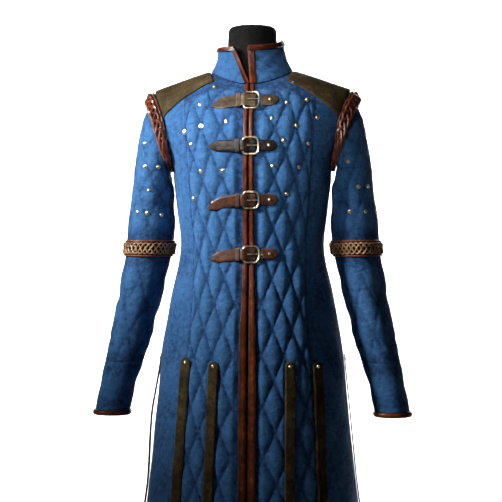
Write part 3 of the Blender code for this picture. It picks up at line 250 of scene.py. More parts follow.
def body_normal(x, z, face):
    """Outward unit normals of the same surface."""
    x, z = np.asarray(x, float), np.asarray(z, float)
    step = 0.0005
    half, depth = section_sizes(z, face)
    above, below = section_sizes(z + step, face), section_sizes(z - step, face)
    half_rate, depth_rate = (above[0] - below[0]) / (2 * step), (above[1] - below[1]) / (2 * step)
    share = np.minimum(1.0, np.abs(x) / half)
    left = np.maximum(1e-9, 1.0 - share**SECTION_POWER)
    round_part = left ** (2.0 / SECTION_POWER)
    round_rate = 2.0 * left ** (2.0 / SECTION_POWER - 1.0) * share ** (SECTION_POWER - 1.0)
    t = np.maximum(0.0, 1.0 - (shoulder_height(x) - z) / SHOULDER_ROUNDING)
    open_part = np.maximum(0.0, 1.0 - t * t)
    y = body_point(x, z, face)[..., 1]
    side = np.where(x >= 0, 1.0, -1.0)
    return unit(stack(
        side * (open_part * round_rate / half
                + round_part * 2 * t * shoulder_fall(x) / SHOULDER_ROUNDING),
        2.0 * y / depth**2,
        -2.0 * y * y / depth**3 * depth_rate - open_part * round_rate * share / half * half_rate
        + round_part * 2.0 * t / SHOULDER_ROUNDING))


def section_angle(x, z):
    share = np.minimum(1.0, np.abs(x) / read_curve(HALF_WIDTH, z))
    return np.arcsin(share ** (SECTION_POWER / 2.0))


def neckline_height(x, face):
    low = np.where(np.asarray(face) < 0, NECKLINE[-1], NECKLINE[1])
    return low + (NECKLINE["side"] - low) * np.minimum(1.0, np.abs(x) / NECK_POINT_X) ** 2


def row_height(x, face, j):
    """Height of row j at a place across, from the hem to the neckline or shoulder ridge."""
    ridge = shoulder_height(x) - RIDGE_STOP
    top = np.where(np.abs(x) < NECK_POINT_X, np.minimum(neckline_height(x, face), ridge), ridge)
    spring = shoulder_height(x) - SHOULDER_ROUNDING
    top_angle = np.arcsin(np.minimum(1.0, (top - spring) / SHOULDER_ROUNDING))
    high = spring + SHOULDER_ROUNDING * np.sin(
        top_angle * np.maximum(0.0, j - SKIRT_ROWS) / SHOULDER_ROWS)
    return np.where(j <= SKIRT_ROWS, HEM_Z + (spring - HEM_Z) * j / SKIRT_ROWS, high)


def panel_places(share, j, side, face):
    """Places across and heights on a quilted panel, by its share of the way to the seam."""
    edge_x = PANEL_EDGE_X[face]
    x = edge_x + (PRINCESS_SEAM[-1, 1] - edge_x) * share + 0 * j
    for _ in range(6):
        z = row_height(x, face, j)
        seam_x = read_curve(PRINCESS_SEAM, z) - SEAM_GAP / 2
        start, end = section_angle(edge_x, z), section_angle(seam_x, z)
        x = read_curve(HALF_WIDTH, z) * np.sin(start + (end - start) * share) ** (
            2.0 / SECTION_POWER)
    return side * x, row_height(x, face, j)


def yoke_edge_height(x):
    return shoulder_height(x) - read_curve(YOKE_EDGE, np.abs(x))


def armhole_point(turn, side):
    """Points of the armhole edge; turn is 0 at the shoulder tip and a quarter in front."""
    low, high = ARMHOLE_EDGE[0, 0], ARMHOLE_EDGE[-1, 0]
    z = (low + high) / 2 + (high - low) / 2 * np.cos(2 * np.pi * turn)
    x = read_curve(ARMHOLE_EDGE, z)
    return body_point(side * x, np.minimum(z, shoulder_height(x) - RIDGE_STOP),
                      np.where(turn <= 0.5, -1, 1))


def sleeve_ring(z, turn, side):
    across, centre_y = read_curve(SLEEVE[:, (0, 1)], z), read_curve(SLEEVE[:, (0, 2)], z)
    half, deep = read_curve(SLEEVE[:, (0, 3)], z), read_curve(SLEEVE[:, (0, 4)], z)
    angle = 2 * np.pi * turn
    return stack(side * (across + half * np.cos(angle)), centre_y - deep * np.sin(angle), z)


def sleeve_point(share, turn, side):
    """Points of the sleeve's surface; share runs from 0 at the armhole to 1 at the wrist."""
    run = (share - SLEEVE_CAP_SHARE) / (1 - SLEEVE_CAP_SHARE)
    arm = sleeve_ring(SLEEVE_TOP_Z + (SLEEVE_END_Z - SLEEVE_TOP_Z) * np.maximum(run, 0), turn, side)
    s = np.clip(share / SLEEVE_CAP_SHARE, 0.0, 1.0)[..., None]
    out = np.cos(2 * np.pi * turn)
    start = armhole_point(turn, side)
    start[..., 0] += side * (SLEEVE_SEAM + ARMPIT_ROOM * np.maximum(0.0, -out) ** 2)
    top = np.full_like(turn, SLEEVE_TOP_Z)
    end = sleeve_ring(top, turn, side)
    reach = np.linalg.norm(end - start, axis=-1, keepdims=True)
    outward, downward = (a + b * out + c * out * out for a, b, c in SLEEVE_HEAD)
    leave = stack(side * outward, 0.0, -downward) * reach
    arrive = unit(sleeve_ring(top - 0.02, turn, side) - end) * reach
    cap = (start * (2 * s**3 - 3 * s**2 + 1) + end * (3 * s**2 - 2 * s**3)
           + leave * (s**3 - 2 * s**2 + s) + arrive * (s**3 - s**2))
    return np.where((share >= SLEEVE_CAP_SHARE)[..., None], arm, cap)


def band_shares(turn, side):
    """Start and end of the armhole band: even in width, and narrower under the arm."""
    ring = sleeve_ring(np.full_like(turn, SLEEVE_TOP_Z), turn, side)
    length = np.linalg.norm(ring - armhole_point(turn, side), axis=-1) / SLEEVE_CAP_SHARE
    below = np.maximum(0.0, -np.cos(2 * np.pi * turn)) ** 2
    start, width, under = (ARMHOLE_BAND[k] for k in ("start", "width", "under"))
    return start / length, (start + width + (under - width) * below) / length


def arm_shares(turn, side):
    """Start and end of the band above the elbow."""
    return share_at(ARM_BAND[1]) + 0 * turn, share_at(ARM_BAND[0]) + 0 * turn


def share_at(z):
    return SLEEVE_CAP_SHARE + (1 - SLEEVE_CAP_SHARE) * (SLEEVE_TOP_Z - z) / (
        SLEEVE_TOP_Z - SLEEVE_END_Z)


def crease_depth(points, turn):
    """Soft cross folds of the sleeve, deepest on their own side of the arm."""
    total = np.zeros(points.shape[:-1])
    for height, at, reach, depth in SLEEVE_CREASES:
        away = (points[..., 2] - height) / reach
        facing = np.cos(2 * np.pi * turn - math.radians(at))
        total += depth * np.exp(-away * away) * np.maximum(0.0, facing) ** 1.5
    return total


def grid_normals(grid, wrap=False):
    """Unit normals of a grid whose rows run along and whose columns run across."""
    if wrap:
        along = np.roll(grid, -1, axis=1) - np.roll(grid, 1, axis=1)
    else:
        along = np.gradient(grid, axis=1)
    return unit(np.cross(along, np.gradient(grid, axis=0)))


def cross_ripples(a, b, seed):
    """Even, irregular ripples between -1 and 1, from a few crossing waves."""
    waves = np.random.default_rng(seed).uniform((0.6, 0.6, 0.0), (1.9, 1.9, 6.28), (7, 3))
    total = sum(np.sin(u * a + v * b * (-1) ** k + w) for k, (u, v, w) in enumerate(waves))
    return total / len(waves) ** 0.5 / 1.4


def quilt_relief(i, j):
    """Quilting from 0 on a stitched line to 1 in a diamond's middle."""
    return np.abs(np.sin(np.pi * (i + j) / 4) * np.sin(np.pi * (i - j) / 4)) ** 0.55


# Meshes
def grid_faces(rows, columns, wrap, first, flip):
    """Quads of a grid of points, as an array of four point numbers."""
    j, i = np.meshgrid(np.arange(rows - 1), np.arange(columns if wrap else columns - 1),
                       indexing="ij")
    k = (i + 1) % columns
    quads = np.stack((j * columns + i, j * columns + k, (j + 1) * columns + k,
                      (j + 1) * columns + i), axis=-1).reshape(-1, 4) + first
    return quads[:, ::-1] if flip else quads


def new_piece(name, points, faces, material, cloth=None):
    """A mesh object that rides on the part, with its faces outward and its finish on it."""
    mesh = bpy.data.meshes.new(name)
    mesh.from_pydata(points.tolist(), [], faces)
    mesh.validate()
    corners = np.array([mesh.vertices[v].co for v in
                        (p.vertices[k] for p in mesh.polygons for k in (0, 1, 2))])
    corners = corners.reshape(-1, 3, 3)
    if np.einsum("ij,ij->", corners[:, 0], np.cross(corners[:, 1], corners[:, 2])) < 0:
        mesh.flip_normals()
    mesh.shade_smooth()
    mesh.set_sharp_from_angle(angle=math.radians(SHARP_ANGLE))
    if cloth is not None:
        layer = mesh.attributes.new("cloth", "FLOAT_VECTOR", "POINT")
        layer.data.foreach_set("vector", np.asarray(cloth, np.float32).ravel())
    mesh.materials.append(bpy.data.materials[material])
    piece = bpy.data.objects.new(name, mesh)
    bpy.context.scene.collection.objects.link(piece)
    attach(piece, "root")
    return piece


def shell(name, outer, inner, material, cloth=None, wrap=False):
    """A closed cloth or leather wall between two grids of the same size."""
    rows, columns = outer.shape[:2]
    base = rows * columns
    faces = [grid_faces(rows, columns, wrap, 0, False), grid_faces(rows, columns, wrap, base, True)]
    last = columns if wrap else columns - 1
    i = np.arange(last)
    k = (i + 1) % columns
    top = (rows - 1) * columns
    faces.append(np.stack((k, i, base + i, base + k), axis=-1))
    faces.append(np.stack((top + i, top + k, base + top + k, base + top + i), axis=-1))
    if not wrap:
        j = np.arange(rows - 1) * columns
        right = j + columns - 1
        faces.append(np.stack((j, j + columns, base + j + columns, base + j), axis=-1))
        faces.append(np.stack((right + columns, right, base + right, base + right + columns),
                              axis=-1))
    points = np.concatenate((outer.reshape(-1, 3), inner.reshape(-1, 3)))
    if cloth is not None:
        # The inner wall gets no relief, so it takes the hollow colour: painted shade on the inside
        # of each piece.
        flat = cloth.reshape(-1, 3)
        cloth = np.concatenate((flat, flat * (1.0, 1.0, 0.0)))
    return new_piece(name, points, np.concatenate(faces).tolist(), material, cloth)


def thread_lengths(grid):
    """How far each point is along its row and its column, in metres."""
    across, along = np.zeros(grid.shape[:2]), np.zeros(grid.shape[:2])
    across[:, 1:] = np.cumsum(np.linalg.norm(np.diff(grid, axis=1), axis=-1), axis=1)
    along[1:] = np.cumsum(np.linalg.norm(np.diff(grid, axis=0), axis=-1), axis=0)
    return across, along


# Cloth coordinates in metres and a relief value: low relief takes the hollow colour, which is
# painted shade, and high relief takes the rubbed colour.
def cloth_layer(grid, relief):
    across, along = thread_lengths(grid)
    return np.stack((across, along, relief + 0 * across), axis=-1)


def flat_cut(grid):
    """Width, length and area that a grid of cloth was cut to."""
    across, along = thread_lengths(grid)
    a, b = np.diff(grid, axis=1)[:-1], np.diff(grid, axis=0)[:, :-1]
    area = float(np.linalg.norm(np.cross(a, b), axis=-1).sum())
    width, length = float(across[:, -1].max()), float(along[-1].max())
    return (round(width, 3), round(length, 3)), max(area, 0.31 * width * length)


def cloth_sheet(grid):
    flat, area = flat_cut(grid)


def full_turn(sides):
    """Angles of the corners of a ring."""
    return 2 * np.pi * np.arange(sides) / sides


def end_faces(rows, sides):
    """The two faces that close the ends of a stack of rings."""
    return [list(range(sides))[::-1], list(range((rows - 1) * sides, rows * sides))]


def tube(path, radius, sides, closed, taper=None):
    """Points and faces of a round cord along a path of points."""
    count = len(path)
    ahead = unit(np.roll(path, -1, axis=0) - np.roll(path, 1, axis=0) if closed
                 else np.gradient(path, axis=0))
    side = np.cross(ahead, (0.0, -1.0, 0.0))
    side = np.where(np.linalg.norm(side, axis=-1, keepdims=True) < 0.05,
                    np.cross(ahead, (0.0, 0.0, 1.0)), side)
    side = unit(side)
    out = np.cross(side, ahead)
    turn = full_turn(sides)
    size = radius * (np.ones(count) if taper is None else np.asarray(taper, float))
    ring = (side[:, None] * np.cos(turn)[:, None] + out[:, None] * np.sin(turn)[:, None])
    points = (path[:, None] + ring * size[:, None, None]).reshape(-1, 3)
    rows = np.arange(count * sides).reshape(count, sides)
    if closed:
        rows = np.vstack((rows, rows[:1]))
    beside = np.roll(rows, -1, axis=1)
    faces = np.stack((rows[:-1], beside[:-1], beside[1:], rows[1:]), axis=-1)
    faces = faces.reshape(-1, 4).tolist()
    return points, faces if closed else faces + end_faces(count, sides)


def join_parts(parts):
    """One set of points and faces from several."""
    points, faces, first = [], [], 0
    for some_points, some_faces in parts:
        points.append(some_points)
        faces += [[v + first for v in face] for face in some_faces]
        first += len(some_points)
    return np.concatenate(points), faces


def resampled(path, spacing):
    """Points at even steps along a path."""
    steps = np.concatenate(([0.0], np.cumsum(np.linalg.norm(np.diff(path, axis=0), axis=-1))))
    count = max(2, int(round(steps[-1] / spacing)) + 1)
    at = np.linspace(0.0, steps[-1], count)
    return np.stack([np.interp(at, steps, path[:, k]) for k in range(3)], axis=-1)


def stitches(path, outward, length=0.0036, radius=0.00042, gap=0.28):
    """A running stitch along a path: small rounded threads that dip into the cloth."""
    line = resampled(np.asarray(path), length)
    middle, along = (line[1:] + line[:-1]) / 2, (line[1:] - line[:-1]) * (1 - gap) / 2
    near = np.abs(middle[:, None] - np.asarray(path)[None]).sum(axis=-1).argmin(axis=1)
    out = unit(np.asarray(outward)[near])
    side = unit(np.cross(unit(along), out))
    corners = np.stack((middle - along, middle + along, middle + side * radius,
                        middle - side * radius, middle + out * radius * 1.5,
                        middle - out * radius), axis=1)
    pattern = np.array(((0, 2, 4), (2, 1, 4), (1, 3, 4), (3, 0, 4),
                        (2, 0, 5), (1, 2, 5), (3, 1, 5), (0, 3, 5)))
    faces = (pattern[None] + 6 * np.arange(len(middle))[:, None, None]).reshape(-1, 3)
    return corners.reshape(-1, 3), faces.tolist()


def dome(centre, outward, radius, height, sides=14, rings=5, rim=0.0):
    """A domed stud or rivet head on the cloth, with an optional flat rim round it."""
    out = unit(np.asarray(outward, float))
    side = unit(np.cross(out, (0.0, 0.0, 1.0)))
    up = np.cross(side, out)
    profile = [(radius + rim, -0.0006)]
    if rim:
        profile += [(radius + rim, 0.0005), (radius, 0.0006)]
    profile += [(radius * math.cos(a), 0.0004 + height * math.sin(a))
                for a in np.linspace(0.0, math.pi / 2 * 0.93, rings)]
    points = [centre + out * h + (side * np.cos(t) + up * np.sin(t)) * r
              for r, h in profile for t in full_turn(sides)]
    rows = len(profile)
    faces = grid_faces(rows, sides, True, 0, False).tolist() + end_faces(rows, sides)
    return np.array(points), faces


# Materials
def nodes_of(tree):
    """A short way to add a node with its settings and its links."""
    def add(kind, settings=None, **inputs):
        node = tree.nodes.new(kind)
        for key, value in (settings or {}).items():
            setattr(node, key, value)
        for key, value in inputs.items():
            socket = node.inputs[int(key[1:])] if key[1:].isdigit() else node.inputs[
                key.replace("_", " ")]
            if isinstance(value, bpy.types.NodeSocket):
                tree.links.new(value, socket)
            else:
                socket.default_value = value
        return node
    return add


def new_group(name, inputs, outputs):
    """A shader node group with named sockets. Returns the group, its maker and its ends."""
    group = bpy.data.node_groups.new(name, "ShaderNodeTree")
    for label, kind, default in inputs:
        socket = group.interface.new_socket(label, in_out="INPUT", socket_type=kind)
        if default is not None:
            socket.default_value = default
    for label, kind in outputs:
        group.interface.new_socket(label, in_out="OUTPUT", socket_type=kind)
    add = nodes_of(group)
    return group, add, add("NodeGroupInput"), add("NodeGroupOutput")


def math_of(add, operation, a, b=0.0):
    return add("ShaderNodeMath", {"operation": operation}, _0=a, _1=b).outputs[0]


def weave_group():
    """Crossing threads with slubs, from cloth coordinates in metres."""
    group, add, ends, out = new_group(
        "Woven threads",
        (("Cloth", "NodeSocketVector", None), ("Threads per metre", "NodeSocketFloat", 900.0),
         ("Slub", "NodeSocketFloat", 0.5)),
        (("Height", "NodeSocketFloat"), ("Tint", "NodeSocketFloat")))
    scaled = add("ShaderNodeVectorMath", {"operation": "SCALE"}, _0=ends.outputs["Cloth"],
                 Scale=ends.outputs["Threads per metre"]).outputs[0]
    parts = add("ShaderNodeSeparateXYZ", _0=scaled)
    warp = math_of(add, "SINE", math_of(add, "MULTIPLY", parts.outputs["X"], math.pi))
    weft = math_of(add, "SINE", math_of(add, "MULTIPLY", parts.outputs["Y"], math.pi))
    crossing = math_of(add, "MULTIPLY", warp, weft)
    streak_x = add("ShaderNodeMapping", _0=ends.outputs["Cloth"], Scale=(900.0, 26.0, 0.0))
    streak_y = add("ShaderNodeMapping", _0=ends.outputs["Cloth"], Scale=(26.0, 900.0, 0.0))
    slub_x = add("ShaderNodeTexNoise", Vector=streak_x.outputs[0], Scale=1.0, Detail=1.0)
    slub_y = add("ShaderNodeTexNoise", Vector=streak_y.outputs[0], Scale=1.0, Detail=1.0)
    slubs = math_of(add, "ADD", slub_x.outputs[0], slub_y.outputs[0])
    tint = math_of(add, "MULTIPLY", math_of(add, "SUBTRACT", slubs, 1.0), ends.outputs["Slub"])
    height = math_of(add, "ADD", math_of(add, "MULTIPLY", crossing, 0.5), tint)
    group.links.new(height, out.inputs["Height"])
    group.links.new(tint, out.inputs["Tint"])


def grain_group():
    """Leather grain: small cells with finer pores between them."""
    group, add, ends, out = new_group(
        "Leather grain",
        (("Vector", "NodeSocketVector", None), ("Scale", "NodeSocketFloat", 420.0)),
        (("Height", "NodeSocketFloat"), ("Patches", "NodeSocketFloat")))
    cells = add("ShaderNodeTexVoronoi", {"feature": "SMOOTH_F1"}, Vector=ends.outputs["Vector"],
                Scale=ends.outputs["Scale"])
    fine = add("ShaderNodeTexNoise", Vector=ends.outputs["Vector"],
               Scale=math_of(add, "MULTIPLY", ends.outputs["Scale"], 2.5), Detail=2.0)
    height = math_of(add, "ADD", cells.outputs["Distance"],
                     math_of(add, "MULTIPLY", fine.outputs[0], 0.35))
    patches = add("ShaderNodeTexNoise", Vector=ends.outputs["Vector"],
                  Scale=math_of(add, "MULTIPLY", ends.outputs["Scale"], 0.06), Detail=3.0)
    group.links.new(height, out.inputs["Height"])
    group.links.new(patches.outputs[0], out.inputs["Patches"])


def wear_group():
    """Wear lighter on raised places, and the hollow colour in low places: painted shade on cloth
    and leather, tarnish on brass; both broken up by soft noise.
    """
    group, add, ends, out = new_group(
        "Raised wear",
        (("Vector", "NodeSocketVector", None), ("Raised", "NodeSocketFloat", 0.5),
         ("Base", "NodeSocketColor", None), ("Worn", "NodeSocketColor", None),
         ("Hollow", "NodeSocketColor", None), ("Amount", "NodeSocketFloat", 0.6),
         ("Patch scale", "NodeSocketFloat", 30.0)),
        (("Color", "NodeSocketColor"), ("Mask", "NodeSocketFloat")))
    noise = add("ShaderNodeTexNoise", Vector=ends.outputs["Vector"],
                Scale=ends.outputs["Patch scale"], Detail=4.0, Roughness=0.6)
    broken = math_of(add, "MULTIPLY", math_of(add, "SUBTRACT", noise.outputs[0], 0.5), 1.3)
    raised = math_of(add, "ADD", ends.outputs["Raised"], broken)
    worn = add("ShaderNodeMapRange", Value=raised, From_Min=0.55, From_Max=1.25)
    # Mask of the hollow colour: painted shade where the relief of cloth and leather is low.
    hollow = add("ShaderNodeMapRange", Value=raised, From_Min=0.46, From_Max=0.04)
    first = add("ShaderNodeMix", {"data_type": "RGBA"}, _0=math_of(
        add, "MULTIPLY", worn.outputs[0], ends.outputs["Amount"]),
        _6=ends.outputs["Base"], _7=ends.outputs["Worn"])
    second = add("ShaderNodeMix", {"data_type": "RGBA"}, _0=math_of(
        add, "MULTIPLY", hollow.outputs[0], 0.9),
        _6=first.outputs[2], _7=ends.outputs["Hollow"])
    group.links.new(second.outputs[2], out.inputs["Color"])
    group.links.new(worn.outputs[0], out.inputs["Mask"])


def dust_group():
    """A thin, uneven film of dust that lightens and dulls a finish."""
    group, add, ends, out = new_group(
        "Dust film",
        (("Vector", "NodeSocketVector", None), ("Color", "NodeSocketColor", None),
         ("Roughness", "NodeSocketFloat", 0.5), ("Amount", "NodeSocketFloat", 0.1)),
        (("Color", "NodeSocketColor"), ("Roughness", "NodeSocketFloat")))
    noise = add("ShaderNodeTexNoise", Vector=ends.outputs["Vector"], Scale=18.0, Detail=5.0,
                Roughness=0.65)
    mask = add("ShaderNodeMapRange", Value=noise.outputs[0], From_Min=0.42, From_Max=0.75)
    share = math_of(add, "MULTIPLY", mask.outputs[0], ends.outputs["Amount"])
    colour = add("ShaderNodeMix", {"data_type": "RGBA"}, _0=share, _6=ends.outputs["Color"],
                 _7=(0.30, 0.28, 0.25, 1.0))
    rough = math_of(add, "ADD", ends.outputs["Roughness"], math_of(add, "MULTIPLY", share, 0.8))
    group.links.new(colour.outputs[2], out.inputs["Color"])
    group.links.new(rough, out.inputs["Roughness"])


def use_group(add, name, **inputs):
    return add("ShaderNodeGroup", {"node_tree": bpy.data.node_groups[name]}, **inputs)


def start_material(name):
    material = bpy.data.materials.new(name)
    material.use_nodes = True
    material.node_tree.nodes.clear()
    add = nodes_of(material.node_tree)
    shader = add("ShaderNodeBsdfPrincipled")
    out = add("ShaderNodeOutputMaterial")
    material.node_tree.links.new(shader.outputs[0], out.inputs["Surface"])
    place = add("ShaderNodeTexCoord").outputs["Object"]
    return material, add, shader, place


def finish_surface(material, add, shader, place, colour, rough, heights, dust):
    """Dust over the colour, and the bumps one after another: (height, strength, distance)."""
    film = use_group(add, "Dust film", Vector=place, Color=colour, Roughness=rough, Amount=dust)
    links = material.node_tree.links
    links.new(film.outputs["Color"], shader.inputs["Base Color"])
    links.new(film.outputs["Roughness"], shader.inputs["Roughness"])
    normal = None
    for height, strength, distance in heights:
        bump = add("ShaderNodeBump", Height=height, Strength=strength, Distance=distance)
        if normal is not None:
            links.new(normal, bump.inputs["Normal"])
        normal = bump.outputs[0]
    links.new(normal, shader.inputs["Normal"])


def linen_material(look, name, base, worn, hollow):
    """Dyed linen: weave, slubs, fading on raised places and painted shade in the hollows along the
    stitching.
    """
    material, add, shader, place = start_material(name)
    cloth = add("ShaderNodeAttribute", {"attribute_name": "cloth"}).outputs["Vector"]
    relief = add("ShaderNodeSeparateXYZ", _0=cloth).outputs["Z"]
    weave = use_group(add, "Woven threads", Cloth=cloth, Threads_per_metre=look.threads)
    # The hollow colour is painted shade in the stitched grooves and low places.
    wear = use_group(add, "Raised wear", Vector=place, Raised=relief, Base=(*base, 1.0),
                     Worn=(*worn, 1.0), Hollow=(*hollow, 1.0), Amount=look.fading,
                     Patch_scale=110.0)
    mottle = add("ShaderNodeTexNoise", Vector=place, Scale=95.0, Detail=6.0, Roughness=0.7)
    uneven = add("ShaderNodeMapRange", Value=mottle.outputs[0], From_Min=0.3, From_Max=0.7,
                 To_Min=0.72, To_Max=1.28).outputs[0]
    shade = math_of(add, "ADD", math_of(add, "MULTIPLY", weave.outputs["Tint"], 0.9), uneven)
    colour = add("ShaderNodeVectorMath", {"operation": "SCALE"}, _0=wear.outputs["Color"],
                 Scale=shade).outputs[0]
    creases = add("ShaderNodeTexNoise", Vector=add(
        "ShaderNodeMapping", _0=place, Scale=(60.0, 60.0, 150.0)).outputs[0], Scale=1.0,
        Detail=4.0, Roughness=0.55, Distortion=0.6)
    rough = math_of(add, "ADD", math_of(add, "MULTIPLY", weave.outputs["Tint"], 0.2), 0.84)
    finish_surface(material, add, shader, place, colour, rough,
                   ((creases.outputs[0], 0.8, 0.0030), (mottle.outputs[0], 0.5, 0.0016),
                    (weave.outputs["Height"], 0.35, 0.0003)),
                   look.dust)
    shader.inputs["Sheen Weight"].default_value = 0.04
    shader.inputs["Sheen Roughness"].default_value = 0.5
    shader.inputs["Specular IOR Level"].default_value = 0.15


def leather_material(look, name, base, worn, hollow, rough, coat, shine):
    """Leather: grain, creases, patches of tone, rubbed raised places, and painted shade in low
    places and crease hollows.
    """
    material, add, shader, place = start_material(name)
    cloth = add("ShaderNodeAttribute", {"attribute_name": "cloth"}).outputs["Vector"]
    relief = add("ShaderNodeSeparateXYZ", _0=cloth).outputs["Z"]
    grain = use_group(add, "Leather grain", Vector=place, Scale=look.grain)
    wear = use_group(add, "Raised wear", Vector=place, Raised=relief, Base=(*base, 1.0),
                     Worn=(*worn, 1.0), Hollow=(*hollow, 1.0), Amount=look.leather_wear,
                     Patch_scale=55.0)
    shade = add("ShaderNodeMapRange", Value=grain.outputs["Patches"], From_Min=0.3, From_Max=0.7,
                To_Min=0.50, To_Max=1.45)
    creases = add("ShaderNodeTexNoise", Vector=place, Scale=85.0, Detail=5.0, Roughness=0.6,
                  Distortion=1.2)
    # Tone from the noise that also bumps the creases: partly the leather's own mottling, partly
    # painted shade in the crease hollows with lighter crease ridges.
    crease_tone_and_shade = add("ShaderNodeMapRange", Value=creases.outputs[0], From_Min=0.3, From_Max=0.7,
                 To_Min=0.55, To_Max=1.45)
    colour = add("ShaderNodeVectorMath", {"operation": "SCALE"}, _0=wear.outputs["Color"],
                 Scale=math_of(add, "MULTIPLY", shade.outputs[0], crease_tone_and_shade.outputs[0])).outputs[0]
    gloss = math_of(add, "ADD", math_of(add, "MULTIPLY", creases.outputs[0], 0.25), rough - 0.12)
    finish_surface(material, add, shader, place, colour, gloss,
                   ((creases.outputs[0], 0.5, 0.0012), (grain.outputs["Height"], 0.35, 0.0004)),
                   look.dust)
    shader.inputs["Coat Weight"].default_value = coat
    shader.inputs["Coat Roughness"].default_value = 0.3
    shader.inputs["Specular IOR Level"].default_value = shine


def brass_material(name, base, tarnish, look):
    """Old brass: bright where rubbed, brown in its hollows, with fine scratches."""
    material, add, shader, place = start_material(name)
    wear = use_group(add, "Raised wear", Vector=place, Raised=0.55, Base=(*base, 1.0),
                     Worn=(*(min(1.0, c * 1.35) for c in base), 1.0), Hollow=(*tarnish, 1.0),
                     Amount=1.0, Patch_scale=160.0)
    scratches = add("ShaderNodeTexNoise", Vector=add(
        "ShaderNodeMapping", _0=place, Scale=(900.0, 900.0, 2500.0)).outputs[0], Scale=1.0,
        Detail=2.0)
    pits = add("ShaderNodeTexNoise", Vector=place, Scale=700.0, Detail=3.0)
    rough = math_of(add, "ADD", math_of(add, "MULTIPLY", scratches.outputs[0], 0.35), 0.12)
    finish_surface(material, add, shader, place, wear.outputs["Color"], rough,
                   ((pits.outputs[0], 0.35, 0.0003), (scratches.outputs[0], 0.15, 0.0001)),
                   look.dust * 0.4)
    shader.inputs["Metallic"].default_value = 1.0


def stand_material(name, base):
    """Satin black paint with orange peel and a few rubbed patches."""
    material, add, shader, place = start_material(name)
    wear = use_group(add, "Raised wear", Vector=place, Raised=0.4, Base=(*base, 1.0),
                     Worn=(0.06, 0.06, 0.06, 1.0), Hollow=(0.006, 0.006, 0.006, 1.0),
                     Amount=0.6, Patch_scale=25.0)
    peel = add("ShaderNodeTexNoise", Vector=place, Scale=420.0, Detail=2.0)
    rough = math_of(add, "ADD", math_of(add, "MULTIPLY", peel.outputs[0], 0.2), 0.32)
    finish_surface(material, add, shader, place, wear.outputs["Color"], rough,
                   ((peel.outputs[0], 0.2, 0.0004),), 0.12)


def shaded(colour, share):
    """The same colour, lighter or darker by a share."""
    return [min(1.0, c * share) for c in colour]


def leathers(look):
    """Name, base, worn and hollow colours, roughness, coat and shine of leathers and threads. The
    hollow colour is painted shade in low places.
    """
    olive, red, worn, thread = look.olive, look.red, look.red_worn, look.thread
    return (
        ("olive_suede", olive, look.olive_worn, shaded(olive, 0.5), 0.72, 0.0, 0.04),
        ("oiled_leather", red, worn, shaded(red, 0.35), 0.32, 0.10, 0.15),
        # Band leather under the cords: partly its own dark tone, partly painted shade in the gaps
        # between the cords.
        ("dark_red_leather", shaded(red, 0.45), shaded(worn, 0.5), shaded(red, 0.2),
         0.40, 0.05, 0.15),
        ("plaited_cord", look.cord, look.cord_worn, red, 0.42, 0.2, 0.35),
        ("laced_leather", shaded(red, 1.25), worn, shaded(red, 0.3), 0.30, 0.45, 0.35),
        ("piping", (0.190, 0.062, 0.024), worn, red, 0.40, 0.2, 0.35),
        ("taupe_strap", (0.080, 0.054, 0.032), (0.22, 0.17, 0.12), (0.03, 0.02, 0.012),
         0.40, 0.20, 0.20),
        ("dark_strap", (0.011, 0.006, 0.004), (0.045, 0.030, 0.020), (0.004, 0.003, 0.003),
         0.40, 0.15, 0.20),
        ("chestnut_strap", (0.070, 0.026, 0.012), (0.18, 0.085, 0.045), (0.02, 0.010, 0.006),
         0.38, 0.15, 0.20),
        # Near-black discs stand in for the strap holes: painted shade of the holes.
        ("hole_edge", (0.010, 0.007, 0.005), (0.03, 0.02, 0.015), (0.004, 0.003, 0.003),
         0.7, 0.0, 0.35),
        ("linen_thread", thread, shaded(thread, 1.8), shaded(thread, 0.5), 0.8, 0.0, 0.35),
        ("tan_thread", (0.24, 0.15, 0.08), (0.40, 0.28, 0.16), (0.10, 0.06, 0.03),
         0.8, 0.0, 0.35))


def linens(look):
    """Name and base, worn and hollow colours of the cloths; the hollow colour is painted shade in
    low places.
    """
    return (
        ("quilted_linen", look.linen, look.linen_worn, look.linen_painted_shade),
        ("plain_linen", look.linen, look.linen_worn, look.linen_painted_shade),
        ("form_linen", (0.020, 0.021, 0.024), (0.045, 0.046, 0.050), (0.008, 0.008, 0.009)),
        ("cap_cloth", (0.007, 0.008, 0.006), (0.022, 0.024, 0.020), (0.003, 0.003, 0.003)))


def floor_material(name, base):
    """Plain pale studio paper with a very faint tooth."""
    material, add, shader, place = start_material(name)
    tooth = add("ShaderNodeTexNoise", Vector=place, Scale=300.0, Detail=2.0)
    bump = add("ShaderNodeBump", Height=tooth.outputs[0], Strength=0.05, Distance=0.001)
    material.node_tree.links.new(bump.outputs[0], shader.inputs["Normal"])
    shader.inputs["Base Color"].default_value = (*base, 1.0)
    shader.inputs["Roughness"].default_value = 0.9


# Settings
def colour_prop(name, note, default):
    return FloatVectorProperty(name=name, description=note, default=default, subtype="COLOR",
                               size=3, min=0.0, max=1.0)


def number_prop(name, note, default, low=0.0, high=1.0, unit_kind="NONE"):
    return FloatProperty(name=name, description=note, default=default, min=low, max=high,
                         unit=unit_kind)


def length_prop(name, note, default, low=0.001, high=0.01):
    return number_prop(name, note, default, low, high, "LENGTH")


